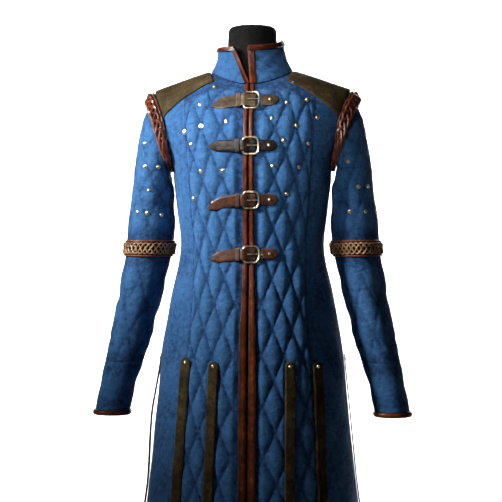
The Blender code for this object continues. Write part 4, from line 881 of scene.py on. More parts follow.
class GambesonFinish(bpy.types.PropertyGroup):
    linen: colour_prop("Linen", "Colour of the dyed linen", (0.027, 0.096, 0.230))
    linen_worn: colour_prop("Faded linen", "Linen where it is rubbed", (0.060, 0.180, 0.380))
    # Painted shade: the dark linen colour laid along the stitched grooves and other low places.
    linen_painted_shade: colour_prop("Linen in hollows", "Linen beside stitching", (0.006, 0.026, 0.085))
    olive: colour_prop("Olive leather", "Yokes and lappets", (0.052, 0.036, 0.0155))
    olive_worn: colour_prop("Rubbed olive", "Olive leather where rubbed", (0.105, 0.074, 0.036))
    red: colour_prop("Reddish brown leather", "Bindings and bands", (0.085, 0.018, 0.006))
    red_worn: colour_prop("Rubbed red", "Reddish leather where rubbed", (0.240, 0.064, 0.020))
    cord: colour_prop("Cord", "Plaited and interlaced cords", (0.300, 0.160, 0.070))
    cord_worn: colour_prop("Rubbed cord", "Cords where rubbed", (0.600, 0.400, 0.230))
    brass: colour_prop("Brass", "Studs, rivets and buckles", (0.880, 0.740, 0.450))
    thread: colour_prop("Thread", "Topstitching thread", (0.060, 0.120, 0.250))
    threads: number_prop("Threads", "Linen threads in a metre", 900.0, 100.0, 3000.0)
    fading: number_prop("Fading", "How faded the raised linen is", 0.55)
    leather_wear: number_prop("Leather wear", "How rubbed the leather is", 0.75)
    grain: number_prop("Grain", "Leather grain cells in a metre", 420.0, 50.0, 2000.0)
    dust: number_prop("Dust", "How dusty the finishes are", 0.010)


class GambesonSizes(bpy.types.PropertyGroup):
    quilt_puff: length_prop("Quilting height", "Rise of a diamond's middle", 0.0052, 0.0, 0.008)
    quilt_wall: length_prop("Quilted wall", "Thickness at the stitching", 0.0035, high=0.008)
    plain_wall: length_prop("Plain wall", "Thickness of side panels", 0.0028, high=0.006)
    sleeve_puff: length_prop("Sleeve quilting", "Rise of the sleeve's quilting", 0.0018, 0.0,
                             0.004)
    sleeve_wall: length_prop("Sleeve wall", "Thickness of sleeves and cuffs", 0.0026, high=0.006)
    leather: length_prop("Leather", "Thickness of the leather pieces", 0.0024, high=0.005)
    stud: length_prop("Stud radius", "Radius of a brass stud", 0.0043)
    rivet: length_prop("Rivet radius", "Radius of a rivet's head", 0.0036)


def finish_of():
    return bpy.context.scene.gambeson_finish


def sizes_of():
    return bpy.context.scene.gambeson_sizes


# Cloth and leather pieces
def side_word(side):
    return "right" if side < 0 else "left"


def pressed(x, z):
    """How flat straps, lappets and bindings press the front's quilting, as a share of its rise."""
    margin = PRESS_MARGIN
    weight = smooth_step((read_curve(BINDING_WIDTH, z) + margin - np.abs(x)) / 0.004)
    for row in STRAPS:
        away = np.abs(z - row[1] + x * row[4]) - STRAP_HALF_WIDTH
        over = smooth_step((x - row[2] + margin) / margin)
        over = over * smooth_step((row[3] + margin - x) / margin)
        weight = np.maximum(weight, over * smooth_step((0.007 - away) / 0.005))
    for _, top_x, foot_x, top_z, _ in LAPPETS:
        share = np.clip((top_z - z) / (top_z - LAPPET_FOOT_Z), 0, 1)
        away = np.abs(x - top_x - (foot_x - top_x) * share) - LAPPET_WIDTH / 2
        below = smooth_step((top_z + margin - z) / margin)
        weight = np.maximum(weight, below * smooth_step((0.005 - away) / 0.004))
    return 1 - (1 - PRESSED_RISE / sizes_of().quilt_puff) * weight


def quilted_panel(side, face):
    """One quilted front or back panel, with its relief pressed flat under what lies on it."""
    sizes = sizes_of()
    columns, fine = PANEL_COLUMNS[face], 6
    i = np.linspace(0, columns, columns * fine + 1)[None, :]
    j = np.linspace(0, ROWS, ROWS * fine + 1)[:, None]
    x, z = panel_places(i / columns, j, side, face)
    flat, normals = body_point(x, z, face), body_normal(x, z, face)
    edge = smooth_step((i - (1.0 if face < 0 else 0.0)) / 1.1) * smooth_step((columns - i) / 1.1)
    ends = smooth_step(j / 0.8) * smooth_step((ROWS - j) / 1.0)
    below_yoke = yoke_edge_height(x) - z
    full = edge * ends * smooth_step((below_yoke - QUILT_STOP) / QUILT_FADE)
    puff = quilt_relief(i, j + QUILT_SHIFT)
    if face < 0:
        for stud_x, stud_z in stud_places():
            away = (x - stud_x) ** 2 + (z - stud_z) ** 2
            puff = puff * (1 - np.exp(-away / STUD_DENT**2))
        full = full * pressed(x, z)
    pull = cross_ripples(x * 150, z * 330, 11 + side + 3 * face) * (1.0 - puff) ** 0.5
    waist = smooth_step((1.02 - z) / 0.25)
    rumple = cross_ripples(x * 42, z * 120, 5 + side + 2 * face) * (0.35 + 0.65 * waist)
    relief = np.clip(puff + 0.10 * pull * puff + 0.09 * rumple, 0.0, 1.0) * full
    roll = 0.0012 * (1.0 - smooth_step(j / 0.25))
    outer = flat + normals * (sizes.quilt_puff * relief - roll)[..., None]
    inner = flat - normals * sizes.quilt_wall
    name = ("front" if face < 0 else "back") + "_panel_" + side_word(side)
    # The stitched lines get a low relief value and so the hollow colour: painted shade in the
    # quilting grooves.
    piece = shell(name + "_quilted", outer, inner, "quilted_linen",
                  cloth_layer(flat, 0.12 + 0.75 * relief))
    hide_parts(name)
    cloth_sheet(flat)


def seam_stitching(side, face):
    """Paths of the topstitching beside a princess seam, on the quilted and the plain side."""
    z = np.linspace(HEM_Z + 0.004, SEAM_STITCHES_TOP_Z, 500)
    paths = []
    for off in SEAM_STITCHES:
        x = read_curve(PRINCESS_SEAM, z) + off
        normal = body_normal(side * x, z, face)
        paths.append((body_point(side * x, z, face) + normal * 0.0002, normal))
    return paths


def side_panel(side, face):
    """The plain panel from a princess seam to the side seam and the armhole."""
    share = np.linspace(0, 1, SIDE_COLUMNS * 6 + 1)[None, :]
    j = np.linspace(0, ROWS, ROWS * 4 + 1)[:, None]
    _, seam_z = panel_places(np.ones_like(j), j, side, -1)
    seam_x = read_curve(PRINCESS_SEAM, seam_z) + SEAM_GAP / 2
    side_row = SKIRT_ROWS - 1
    height = seam_z + (ARMPIT_Z - seam_z) * share * np.clip(j - side_row + 1, 0, 1)
    half = read_curve(HALF_WIDTH, height)
    start, end = section_angle(seam_x, height), np.pi / 2 - SEAM_GAP / half
    low_x = half * np.sin(start + (end - start) * share) ** (2.0 / SECTION_POWER)
    turn = np.pi * np.clip((j - side_row) / (ROWS - side_row), 0, 1)
    low, high = ARMHOLE_EDGE[0, 0], ARMHOLE_EDGE[-1, 0]
    edge_z = (low + high) / 2 - (high - low) / 2 * np.cos(turn)
    high_x = seam_x + (read_curve(ARMHOLE_EDGE, edge_z) - seam_x) * share
    high_z = np.minimum(seam_z + (edge_z - seam_z) * share, shoulder_height(high_x) - RIDGE_STOP)
    x = side * np.where(j <= side_row, low_x, high_x)
    z = np.where(j <= side_row, height, high_z)
    flat, normals = body_point(x, z, face), body_normal(x, z, face)
    away = smooth_step(share / 0.25) * smooth_step((1 - share) / 0.2) * smooth_step(j / 1.0)
    folds = cross_ripples(x * 30 + flat[..., 1] * 55, z * 34, 21 + side + 3 * face)
    relief = 0.0011 * folds * away * smooth_step((ROWS - 6 - j) / 6)
    roll = 0.0010 * (1.0 - smooth_step(j / 0.25))
    outer = flat + normals * (relief - roll)[..., None]
    inner = flat - normals * sizes_of().plain_wall
    name = "side_" + ("front_" if face < 0 else "back_") + side_word(side)
    # The folds also raise and lower the relief value: painted shade in their dips, the rubbed
    # colour on their crests.
    piece = shell(name + "_linen", outer, inner, "plain_linen",
                  cloth_layer(flat, 0.42 + 160 * relief))
    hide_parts(name)
    cloth_sheet(flat)


def leather_profile(width_share, soft=0.16):
    """Thickness share across a leather strip: rounded at both edges."""
    away = np.minimum(width_share, 1 - width_share) / soft
    return 0.45 + 0.55 * np.sqrt(1 - (1 - np.clip(away, 0, 1)) ** 2)


def yoke(side):
    """Leather over the shoulder, with rounded edges and a stitched border."""
    leather = sizes_of().leather
    share, up = np.linspace(0, 1, 41)[None, :], np.linspace(0, 1, 25)[:, None]
    neck_x = YOKE_NECK[0] + (YOKE_NECK[1] - YOKE_NECK[0]) * up
    z = SHOULDER_Z - SHOULDER_ROUNDING / 3 + 0 * share * up
    for _ in range(8):
        edge_x = read_curve(ARMHOLE_EDGE, z) - YOKE_EDGE_INSET
        x = neck_x + (edge_x - neck_x) * share
        spring = shoulder_height(x) - SHOULDER_ROUNDING
        low = np.arcsin((yoke_edge_height(x) - spring) / SHOULDER_ROUNDING)
        z = spring + SHOULDER_ROUNDING * np.sin(low + (np.pi / 2 - low) * up)
    z = np.minimum(z, shoulder_height(x) - RIDGE_STOP)
    flat = np.concatenate((body_point(side * x, z, -1), body_point(side * x, z, 1)[-2::-1]))
    normals = np.concatenate((body_normal(side * x, z, -1), body_normal(side * x, z, 1)[-2::-1]))
    run = np.linspace(0, 1, len(flat))[:, None]
    thick = leather * leather_profile(share, 0.035) * leather_profile(run, 0.03)
    thick = thick + 0.00022 * cross_ripples(flat[..., 0] * 260, flat[..., 2] * 260, 31 + side)
    outer = flat + normals * (YOKE_LIFT + thick)[..., None]
    inner = flat + normals * YOKE_LIFT
    name = "shoulder_yoke_" + side_word(side)
    relief = np.where(thick < leather * 0.9, 0.75, 0.42)
    piece = shell(name + "_leather", outer, inner, "olive_suede", cloth_layer(flat, relief))
    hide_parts(name)
    out = YOKE_LIFT + leather
    return [(flat[3] + normals[3] * out, normals[3]), (flat[-4] + normals[-4] * out, normals[-4]),
            (flat[:, 3] + normals[:, 3] * out, normals[:, 3]),
            (flat[:, -4] + normals[:, -4] * out, normals[:, -4])]


def arm_grid(side, start, end, rows, columns):
    turn = np.zeros((rows + 1, 1)) + (np.arange(columns) / columns)[None, :]
    share = start + (end - start) * np.linspace(0, 1, rows + 1)[:, None] + 0 * turn
    points = sleeve_point(share, turn, side)
    normals = grid_normals(points, wrap=True) * side
    return points, normals, turn


def sleeve_tube(name, side, start, end, size, relief_of, material, thick):
    """A closed wall round the arm, with quilting, cross folds and fine rumples."""
    flat, normals, turn = arm_grid(side, start, end, *size)
    fold = crease_depth(flat, turn)
    relief, height = relief_of(flat, turn, size[0])
    outer = flat + normals * (height - fold)[..., None]
    inner = flat - normals * (thick + fold)[..., None]
    # The cross folds lower the relief value, painting shade into the folds.
    cloth = cloth_layer(flat, relief - 40 * fold)
    piece = shell(name, outer, inner, material, cloth, wrap=True)
    closed = np.concatenate((flat, flat[:, :1]), axis=1)
    return piece, closed


def quilted_sleeve(cells, flat_rows, seed):
    """Relief of a quilted sleeve: cells rows long, flat over the rows at each end."""
    def relief_of(flat, turn, rows):
        i = turn * 24
        j = np.linspace(0, cells, rows + 1)[:, None]
        start, end = flat_rows
        full = smooth_step((j - start) / 0.9) * smooth_step((cells - end - j) / 0.9)
        puff = quilt_relief(i, j) * full
        rumple = cross_ripples(flat[..., 2] * 150, np.sin(2 * np.pi * turn) * 3.2, seed) * full
        relief = np.clip(puff + 0.22 * rumple * (0.3 + puff), 0.0, 1.1)
        # Low values on the stitched lines take the hollow colour: painted shade in the quilting
        # grooves.
        return 0.20 + 0.62 * relief, sizes_of().sleeve_puff * relief
    return relief_of


def plain_cuff(flat, turn, rows):
    """Relief of the cuff: soft folds that fade at both ends."""
    j = np.linspace(0, 1, rows + 1)[:, None]
    full = smooth_step(j / 0.12) * smooth_step((1 - j) / 0.10)
    folds = cross_ripples(flat[..., 2] * 75, np.sin(2 * np.pi * turn) * 2.4, 47) * full
    # The folds also set the relief value: painted shade in their dips.
    return 0.45 + 0.25 * folds, 0.0009 * folds


def sleeve(side):
    """Upper sleeve, lower sleeve and cuff, and the leather roll round the cuff."""
    wall, word, gap = sizes_of().sleeve_wall, side_word(side), SLEEVE_GAP_SHARE
    join, seam = share_at(SLEEVE_JOIN_Z), share_at(CUFF_SEAM_Z)
    end, foot = share_at(CUFF_BINDING_Z), 1.0
    for node, start, stop, size, relief in (
            ("upper_sleeve_", SLEEVE_START_SHARE, join - gap, (96, 120),
             quilted_sleeve(12, (1.6, 0.9), 41)),
            ("lower_sleeve_", join + gap, seam - gap, (72, 120), quilted_sleeve(8, (0.9, 0.2), 43)),
            ("cuff_", seam + gap, end - gap, (36, 96), plain_cuff)):
        material = "plain_linen" if node == "cuff_" else "quilted_linen"
        piece, closed = sleeve_tube(node + word + "_linen", side, start, stop, size, relief,
                                    material, wall)
        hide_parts(node + word)
        cloth_sheet(closed)
    flat, normals, _ = arm_grid(side, end + gap, foot, 12, 72)
    swell = np.sin(np.pi * np.linspace(0.10, 0.90, 13))[:, None, None]
    outer = flat + normals * (CUFF_ROLL["base"] + CUFF_ROLL["swell"] * swell)
    inner = flat - normals * CUFF_ROLL["under"]
    # The roll's ends get low relief and so the hollow colour: painted shade where it meets the
    # cloth.
    piece = shell("cuff_binding_" + word + "_leather", outer, inner, "oiled_leather",
                  cloth_layer(flat, 0.15 + 0.7 * swell[..., 0]), wrap=True)
    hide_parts("cuff_binding_" + word)


def cuff_stitching(side):
    """Paths of the stitching round the cuff's seam and beside its binding."""
    paths = []
    for height in (CUFF_SEAM_Z - 0.004, CUFF_SEAM_Z + 0.004, CUFF_BINDING_Z + 0.006):
        share = share_at(height)
        flat, normals, _ = arm_grid(side, share - 0.001, share + 0.001, 2, 160)
        ring = np.concatenate((flat[1], flat[1][:1])), np.concatenate((normals[1], normals[1][:1]))
        paths.append((ring[0] + ring[1] * 0.0008, ring[1]))
    return paths


def plait(side, band, lift, waves, strands, radius, breadth):
    """Crossing cords round the arm: each strand weaves over and under the others."""
    steps = waves * 14
    turn = np.arange(steps) / steps
    parts = []
    for k in range(strands):
        phase = 2 * np.pi * k / strands
        sway = np.sin(2 * np.pi * waves * turn + phase)
        weave = np.sin(4 * np.pi * waves * turn + 2 * phase)
        start, end = band(turn, side)
        share = (start + end) / 2 + (end - start) / 2 * breadth * sway
        points = sleeve_point(share, turn, side)
        ahead = np.roll(points, -1, axis=0) - np.roll(points, 1, axis=0)
        down = sleeve_point(share + 0.004, turn, side) - sleeve_point(share - 0.004, turn, side)
        out = unit(np.cross(ahead, down)) * side
        path = points + out * (lift + radius * 0.9 * (1.0 + 0.55 * weave))[:, None]
        parts.append(tube(path, radius, 7, True))
    return join_parts(parts)


def leather_band(name, side, band, lift, size, cords, finish):
    """A leather band round the arm with its cords on it and piping at both edges."""
    leather = sizes_of().leather
    flat, normals, _ = arm_grid(side, *band(np.arange(size[1]) / size[1], side), *size)
    run = np.linspace(0, 1, size[0] + 1)[:, None] + np.zeros((1, size[1]))
    outer = flat + normals * (lift + leather * leather_profile(run, 0.14))[..., None]
    inner = flat + normals * lift
    # The band's middle, under the cords, gets low relief and so the hollow colour: painted shade
    # between the cords; its edges take the rubbed colour.
    piece = shell(name + "_leather", outer, inner, "dark_red_leather",
                  cloth_layer(flat, 0.15 + 0.6 * (np.abs(run - 0.5) > 0.38)), wrap=True)
    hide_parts(name)
    points, faces = plait(side, band, lift + leather, *cords)
    lace = new_piece(name + "_cords", points, faces, finish,
                     np.stack((points[:, 0], points[:, 2], np.full(len(points), 0.6)), axis=-1))
    rolls = []
    for row, inward in ((0, 1), (-1, -1)):
        edge = flat[row] + unit(flat[row + inward] - flat[row]) * PIPING["inset"]
        rolls.append(tube(edge + normals[row] * (lift + leather * PIPING["rise"]),
                          PIPING["radius"], 8, True))
    points, faces = join_parts(rolls)
    piping = new_piece(name + "_piping", points, faces, "piping",
                       np.stack((points[:, 0], points[:, 2], np.full(len(points), 0.5)), axis=-1))


def collar_lines(columns):
    """Collar base on the neckline and its rim, from the right corner round the back."""
    turn = np.linspace(-1.0, 1.0, columns + 1)
    side = np.where(turn < 0, -1, 1)
    amount = 1.0 - np.abs(turn)
    start = math.asin(COLLAR_BASE_OPEN / NECK_POINT_X)
    angle = start + (np.pi - start) * amount
    x = side * NECK_POINT_X * np.sin(angle)
    face = np.where(angle < np.pi / 2, -1, 1)
    base = body_point(x, neckline_height(x, face), face)
    opening = np.where(side < 0, COLLAR_OPEN[-1], COLLAR_OPEN[1])
    rim_start = np.arcsin(opening / COLLAR_HALF)
    rim_angle = rim_start + (np.pi - rim_start) * amount
    ahead = rim_angle < np.pi / 2
    depth = np.where(ahead, COLLAR_DEPTH[-1], COLLAR_DEPTH[1])
    side_z = np.where(side < 0, COLLAR_SIDE_Z[-1], COLLAR_SIDE_Z[1])
    front_z = np.where(side < 0, COLLAR_FRONT_Z[-1], COLLAR_FRONT_Z[1])
    end_z = np.where(ahead, front_z, COLLAR_BACK_Z)
    z = side_z + (end_z - side_z) * np.abs(np.cos(rim_angle))
    x = COLLAR_SHIFT + side * COLLAR_HALF * np.sin(rim_angle)
    return base, stack(x, -depth * np.cos(rim_angle), z)


def from_neck(points):
    return unit(stack(points[..., 0], points[..., 1] + 0.008, 0.02))


def collar():
    """Stand collar of linen with leather folded over its rim and its front edges."""
    base, rim = collar_lines(108)
    rise = unit(rim - base)
    t = np.linspace(0, 1, 19)[:, None, None]
    grid = (base + rise * COLLAR_SEAM) * (1 - t) + rim * t
    grid = grid + from_neck(grid) * (-COLLAR_WAIST * np.sin(np.pi * t))
    normals = grid_normals(grid)
    if np.sum(normals * from_neck(grid)) < 0:
        normals = -normals
    folds = cross_ripples(grid[..., 0] * 95 + grid[..., 1] * 60, grid[..., 2] * 160, 61)
    puff = smooth_step(t[..., 0] / 0.2) * smooth_step((1 - t[..., 0]) / 0.2)
    relief = 0.0009 * folds * puff + 0.0010 * puff
    outer = grid + normals * (COLLAR_HALF_WALL + relief)[..., None]
    inner = grid - normals * COLLAR_HALF_WALL
    # The folds also set the relief value: painted shade in their dips and at the collar's top and
    # foot.
    piece = shell("collar_linen", outer, inner, "plain_linen",
                  cloth_layer(grid, 0.35 + 200 * relief))
    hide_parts("collar")
    cloth_sheet(grid)
    piece = collar_edge("collar_binding_leather", rim + rise * COLLAR_RIM_RISE, rim, normals[-1],
                        COLLAR_RIM_WIDTH, COLLAR_RIM_LIFT)
    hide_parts("collar_binding")
    for side, column in ((-1, 0), (1, -1)):
        collar_edge("collar_edge_" + side_word(side), grid[:, column], grid[:, column - side],
                    normals[:, column], COLLAR_EDGE_WIDTH[side])
    return [(rim - rise * 0.004 + normals[-1] * (COLLAR_HALF_WALL + 0.0004), normals[-1])]


def collar_edge(name, edge, inward, normals, wide, lift=0.0):
    """Leather folded over one edge of the collar, wide on the outside."""
    into = unit(inward - edge)
    outside = COLLAR_HALF_WALL + COLLAR_LEATHER["outside"] + lift
    inside = -COLLAR_HALF_WALL - COLLAR_LEATHER["inside"] - lift
    fold = np.linspace(0, np.pi, 9)
    across = np.concatenate((np.linspace(wide, 0.001, 10),
                             -COLLAR_LEATHER["roll"] * np.sin(fold),
                             np.linspace(0.001, COLLAR_LEATHER["turned_in"], 5)))
    height = np.concatenate((np.full(10, outside), (outside + inside) / 2
                             + (outside - inside) / 2 * np.cos(fold), np.full(5, inside)))
    height[0] -= 0.0012
    wrinkle = 0.0003 * cross_ripples((edge[:, :1] + edge[:, 2:]) * 330, across[None] * 400, 65)
    skin = (edge[:, None] + into[:, None] * across[None, :, None]
            + normals[:, None] * (height + wrinkle)[..., None])
    middle = (outside + inside) / 2
    core = (edge[:, None] + into[:, None] * np.maximum(across, 0.0)[None, :, None]
            + normals[:, None] * (middle + (height - middle) * 0.6)[None, :, None])
    # Away from the fold the relief is low and takes the hollow colour, which is painted shade; the
    # fold takes the rubbed colour.
    relief = 0.15 + 0.7 * np.exp(-((across - 0.001) / 0.0022) ** 2)[None]
    piece = shell(name, skin, core, "oiled_leather", cloth_layer(skin, relief))
    return piece


def front_binding(side):
    """Rounded leather roll down one front edge, from the neckline to the hem."""
    run = np.linspace(0, 1, 541)[:, None]
    x_top = BINDING_WIDTH[-1, 1]
    top = float(row_height(x_top, -1, ROWS)) - BINDING_TOP_GAP
    z = HEM_Z + (top - HEM_Z) * run
    across = np.linspace(0, 1, 13)[None, :]
    width = read_curve(BINDING_WIDTH, z)
    x = side * (BINDING_EDGE_X + width * across)
    flat, normals = body_point(x, z, -1), body_normal(x, z, -1)
    climb = 0.0014 * smooth_step((width - 0.0105) / 0.004) * across**2
    dome_share = np.sqrt(np.maximum(0.0, 1 - (2 * across - 1) ** 2))
    crown = BINDING_CROWN["base"] + BINDING_CROWN["rise"] * dome_share
    wrinkle = 0.00035 * cross_ripples(z * 210 + 3 * side, across * 4 + z * 30, 71 + side)
    height = BINDING_LIFT + climb + crown + wrinkle * np.sin(np.pi * across)
    outer = flat + normals * height[..., None]
    inner = flat + normals * (BINDING_LIFT + climb * 0.9 - 0.0003)[..., None]
    name = "front_binding_" + side_word(side)
    # The binding's edges get low relief and so the hollow colour: painted shade where it meets the
    # cloth; its crown takes the rubbed colour.
    piece = shell(name + "_leather", outer, inner, "oiled_leather",
                  cloth_layer(flat, 0.05 + 0.75 * np.sin(np.pi * across) ** 2))
    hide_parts(name)
    x = side * (BINDING_EDGE_X + width[:, 0] - 0.0010)
    normal = body_normal(x, z[:, 0], -1)
    lift = BINDING_LIFT + climb[:, -1] + 0.0016
    return [(body_point(x, z[:, 0], -1) + normal * lift[:, None], normal)]


# Straps and small fittings
def strap_rise(x):
    return STRAP_ARCH[0] * np.exp(-((x - BUCKLE["left"]) / STRAP_ARCH[1]) ** 2)


def on_front(row, x, across, height):
    """Points over the front, measured along a strap, across it and out from the cloth."""
    z = row[1] + across - x * row[4] - row[8] * np.maximum(0.0, DROOP_START - x) ** 2
    x = x + 0 * z
    return body_point(x, z, -1) + body_normal(x, z, -1) * np.asarray(height + 0 * z)[..., None]


def strap_shell(name, row, places, half, lift, thick, rise, material):
    """A leather strip along the front with rounded edges; half gives its half width."""
    w = np.linspace(-1, 1, 11)[None, :]
    x = places[:, None]
    across = w * half[:, None]
    base = lift + rise(x)
    wobble = 0.00018 * cross_ripples(x * 260, across * 260 + row[1] * 40, 83)
    skin = thick * leather_profile((w + 1) / 2, 0.13) + wobble
    outer = on_front(row, x, across, base + skin)
    inner = on_front(row, x, across, base)
    relief = np.where(np.abs(w) > 0.8, 0.85, 0.42) + 0.25 * (np.abs(rise(x)) > 0.002)
    piece = shell(name + "_leather", outer, inner, material, stack(x, across, relief))
    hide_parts(name)
    return piece


def pointed(tip, half, direction, count=9, fullness=0.5):
    """Places and half widths of a rounded strap end."""
    angle = np.linspace(0.10, np.pi / 2, count)
    return tip + direction * half * (1 - np.cos(angle)), half * np.sin(angle) ** (2 * fullness)


def strap(row):
    """One strap with its chape, stitching, holes, buckle, prong, keeper and rivet."""
    name, _, tip, chape_end, _, lift, low, finish, _ = row
    half, leather = STRAP_HALF_WIDTH, sizes_of().leather
    chape_half, chape_top = half * CHAPE_SHARE, low + leather + CHAPE_EXTRA
    end_share = np.linspace(0, 1, 16)
    end_x = tip + STRAP_POINT * end_share
    end_w = half * (0.10 + 0.90 * (1 - (1 - end_share) ** 1.8))
    run = np.linspace(tip + STRAP_POINT, STRAP_END, 60)[1:]
    places = np.concatenate((end_x, run))
    widths = np.concatenate((end_w, np.full(len(run), half)))
    strap_shell(name, row, places, widths, lift, leather, strap_rise, finish)
    back_x, back_w = pointed(chape_end, chape_half, -1)
    run = np.linspace(CHAPE_START, chape_end - half, 24)[:-1]
    places = np.concatenate((run, back_x[::-1]))
    widths = np.concatenate((np.full(len(run), chape_half), back_w[::-1]))
    strap_shell(name + "_chape", row, places, widths, low, leather + CHAPE_EXTRA,
                np.zeros_like, finish)
    border = []
    for w in (-1, 1):
        x = np.linspace(tip + STRAP_POINT, STRAP_END - 0.002, 120)
        height = lift + strap_rise(x) + leather
        border.append((on_front(row, x, w * (half - STRAP_STITCH_INSET), height),
                       body_normal(x, row[1], -1)))
        x = np.linspace(CHAPE_START + 0.002, chape_end - half, 60)
        border.append((on_front(row, x, w * (chape_half - STRAP_STITCH_INSET), chape_top),
                       body_normal(x, row[1], -1)))
    stitch_piece(name + "_stitching", border, 0.0030, 0.00036)
    # The holes are dark discs on the strap: painted shade in place of cut holes.
    holes = []
    for x in (tip + away for away in STRAP_HOLES):
        place = on_front(row, np.array(x), 0.0, lift + strap_rise(x) + leather - 0.0002)
        holes.append(dome(place, body_normal(x, row[1], -1), 0.0014, 0.0003, 12, 2))
    piece = new_piece(name + "_holes", *join_parts(holes), "hole_edge")
    buckle(row)
    keeper(row)


def buckle(row):
    """A D-shaped brass buckle with a hammered bow, its bar and its prong."""
    name, lift, leather = row[0], row[5], sizes_of().leather
    left, right, half, wire, corner = BUCKLE.values()
    bend = np.linspace(0, np.pi / 2, 6)
    bow = right - half * 0.72
    sweep = np.linspace(0, np.pi / 2, 12)
    xs = np.concatenate((left + corner * (1 - np.cos(bend)),
                         bow + (right - bow) * np.sin(sweep) ** 0.75))
    ws = np.concatenate((half - corner * (1 - np.sin(bend)), half * np.cos(sweep) ** 0.75))
    xs, ws = np.concatenate((xs, xs[-2::-1])), np.concatenate((ws, -ws[-2::-1]))
    ring = on_front(row, np.append(xs, xs[0]), np.append(ws, ws[0]), lift + wire)
    path = resampled(ring, 0.0016)[:-1]
    swell = np.where(path[:, 0] > bow, 1.12, 0.94)
    piece = new_piece(name + "_buckle_brass", *tube(path, wire, 12, True, swell), "old_brass")
    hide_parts(name + "_buckle")
    rest = lift + 2 * wire + SEAM_GAP + PRONG_WIRE
    top = lift + float(strap_rise(PRONG_START)) + leather + SEAM_GAP + PRONG_WIRE
    stops, fine = np.linspace(0, 1, 4), np.linspace(0, 1, 25)
    x = np.interp(fine, stops, (PRONG_START, 0.006, 0.014, right + 0.0012))
    height = np.interp(fine, stops, (top, top, max(rest, top - 0.001), rest))
    taper = 1.08 - 0.45 * fine
    piece = new_piece(name + "_prong_brass",
                      *tube(on_front(row, x, 0.0, height), PRONG_WIRE, 10, False, taper),
                      "old_brass")
    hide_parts(name + "_prong")
    rivet_x = (CHAPE_START + row[3]) / 2 + 0.001
    height = row[6] + leather + CHAPE_EXTRA
    heads = [dome(on_front(row, np.array(rivet_x), 0.0, height), body_normal(rivet_x, row[1], -1),
                  sizes_of().rivet * 0.95, 0.0018)]
    if name == "strap_4":
        heads.append(dome(on_front(row, np.array(rivet_x - 0.014), -0.001, height),
                          body_normal(rivet_x, row[1], -1), sizes_of().rivet * 0.7, 0.0014))
    piece = new_piece(name + "_rivet", *join_parts(heads), "old_brass")


def keeper(row):
    """The narrow leather loop round the strap beside the buckle."""
    name, lift, leather = row[0], row[5], sizes_of().leather
    wide, low = STRAP_HALF_WIDTH + KEEPER["room"], lift - KEEPER["drop"]
    corner, along = np.linspace(0, np.pi / 2, 5), np.linspace(-1, 1, 9)[:, None]
    x = KEEPER["x"] + KEEPER["half"] * along
    grids = []
    for grow in (0.0, KEEPER["wall"]):
        w_end, radius = wide + grow, KEEPER["corner"] + grow
        arc_w = np.concatenate(([-w_end], -w_end + radius * (1 - np.cos(corner)),
                                np.linspace(-w_end + radius, w_end - radius, 7)[1:-1],
                                w_end - radius * (1 - np.cos(corner[::-1])), [w_end]))
        peak = lift + strap_rise(x) + leather + KEEPER["over"] + grow
        drop = np.concatenate(([1.0], (1 - np.sin(corner)), np.zeros(5),
                               (1 - np.sin(corner[::-1])), [1.0]))[None, :]
        height = peak - radius * drop
        height[:, 0] = height[:, -1] = low
        edge = 0.0004 * (np.abs(along) > 0.95) * (grow > 0)
        grids.append(on_front(row, x, arc_w[None, :], height - edge))
    relief = np.where(np.abs(along) > 0.7, 0.85, 0.4)
    piece = shell(name + "_keeper_leather", grids[1], grids[0], row[7],
                  cloth_layer(grids[1], relief))
    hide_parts(name + "_keeper")


def stitch_piece(name, paths, length=0.0036, radius=0.00042, material="linen_thread"):
    piece = new_piece(name, *join_parts([stitches(p, n, length, radius) for p, n in paths]),
                      material)
    return piece


def lappet(row):
    """A hanging olive strip on the front, rounded at its top, with its rivet."""
    name, top_x, foot_x, top_z, lift = row
    half, leather = LAPPET_WIDTH / 2, sizes_of().leather
    end_z, end_w = pointed(top_z, half, -1, 9)
    z = np.concatenate((np.linspace(LAPPET_FOOT_Z, top_z - half, 90)[:-1], end_z[::-1]))[:, None]
    width = np.concatenate((np.full(89, half), end_w[::-1]))[:, None]
    w = np.linspace(-1, 1, 11)[None, :]
    share = (top_z - z) / (top_z - LAPPET_FOOT_Z)
    x = top_x + (foot_x - top_x) * share + w * width
    flat, normals = body_point(x, z, -1), body_normal(x, z, -1)
    sway = 0.0007 * (1 + cross_ripples(z * 40 + 9 * top_x, w * 0.8, 91)) * smooth_step(share / 0.2)
    skin = leather * leather_profile((w + 1) / 2, 0.12)
    skin = skin + 0.0002 * cross_ripples(x * 300, z * 300, 93)
    outer = flat + normals * (lift + sway + skin)[..., None]
    inner = flat + normals * lift
    relief = np.where(np.abs(w) > 0.82, 0.85, 0.42)
    piece = shell(name + "_leather", outer, inner, "olive_suede", cloth_layer(flat, relief))
    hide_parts(name)
    z_run, rivet_z = z[8:-14, 0], top_z - half * 0.95
    normal = body_normal(top_x, rivet_z, -1)
    head = dome(body_point(top_x, rivet_z, -1) + normal * (lift + leather), normal,
                sizes_of().rivet, RIVET_RISE)
    new_piece(name + "_rivet", *head, "old_brass")
    paths = []
    for k in (1, -2):
        inset = x[8:-14, k]
        normal = body_normal(inset, z_run, -1)
        out = (lift + sway + skin)[8:-14, k][:, None]
        paths.append((body_point(inset, z_run, -1) + normal * out, normal))
    return paths


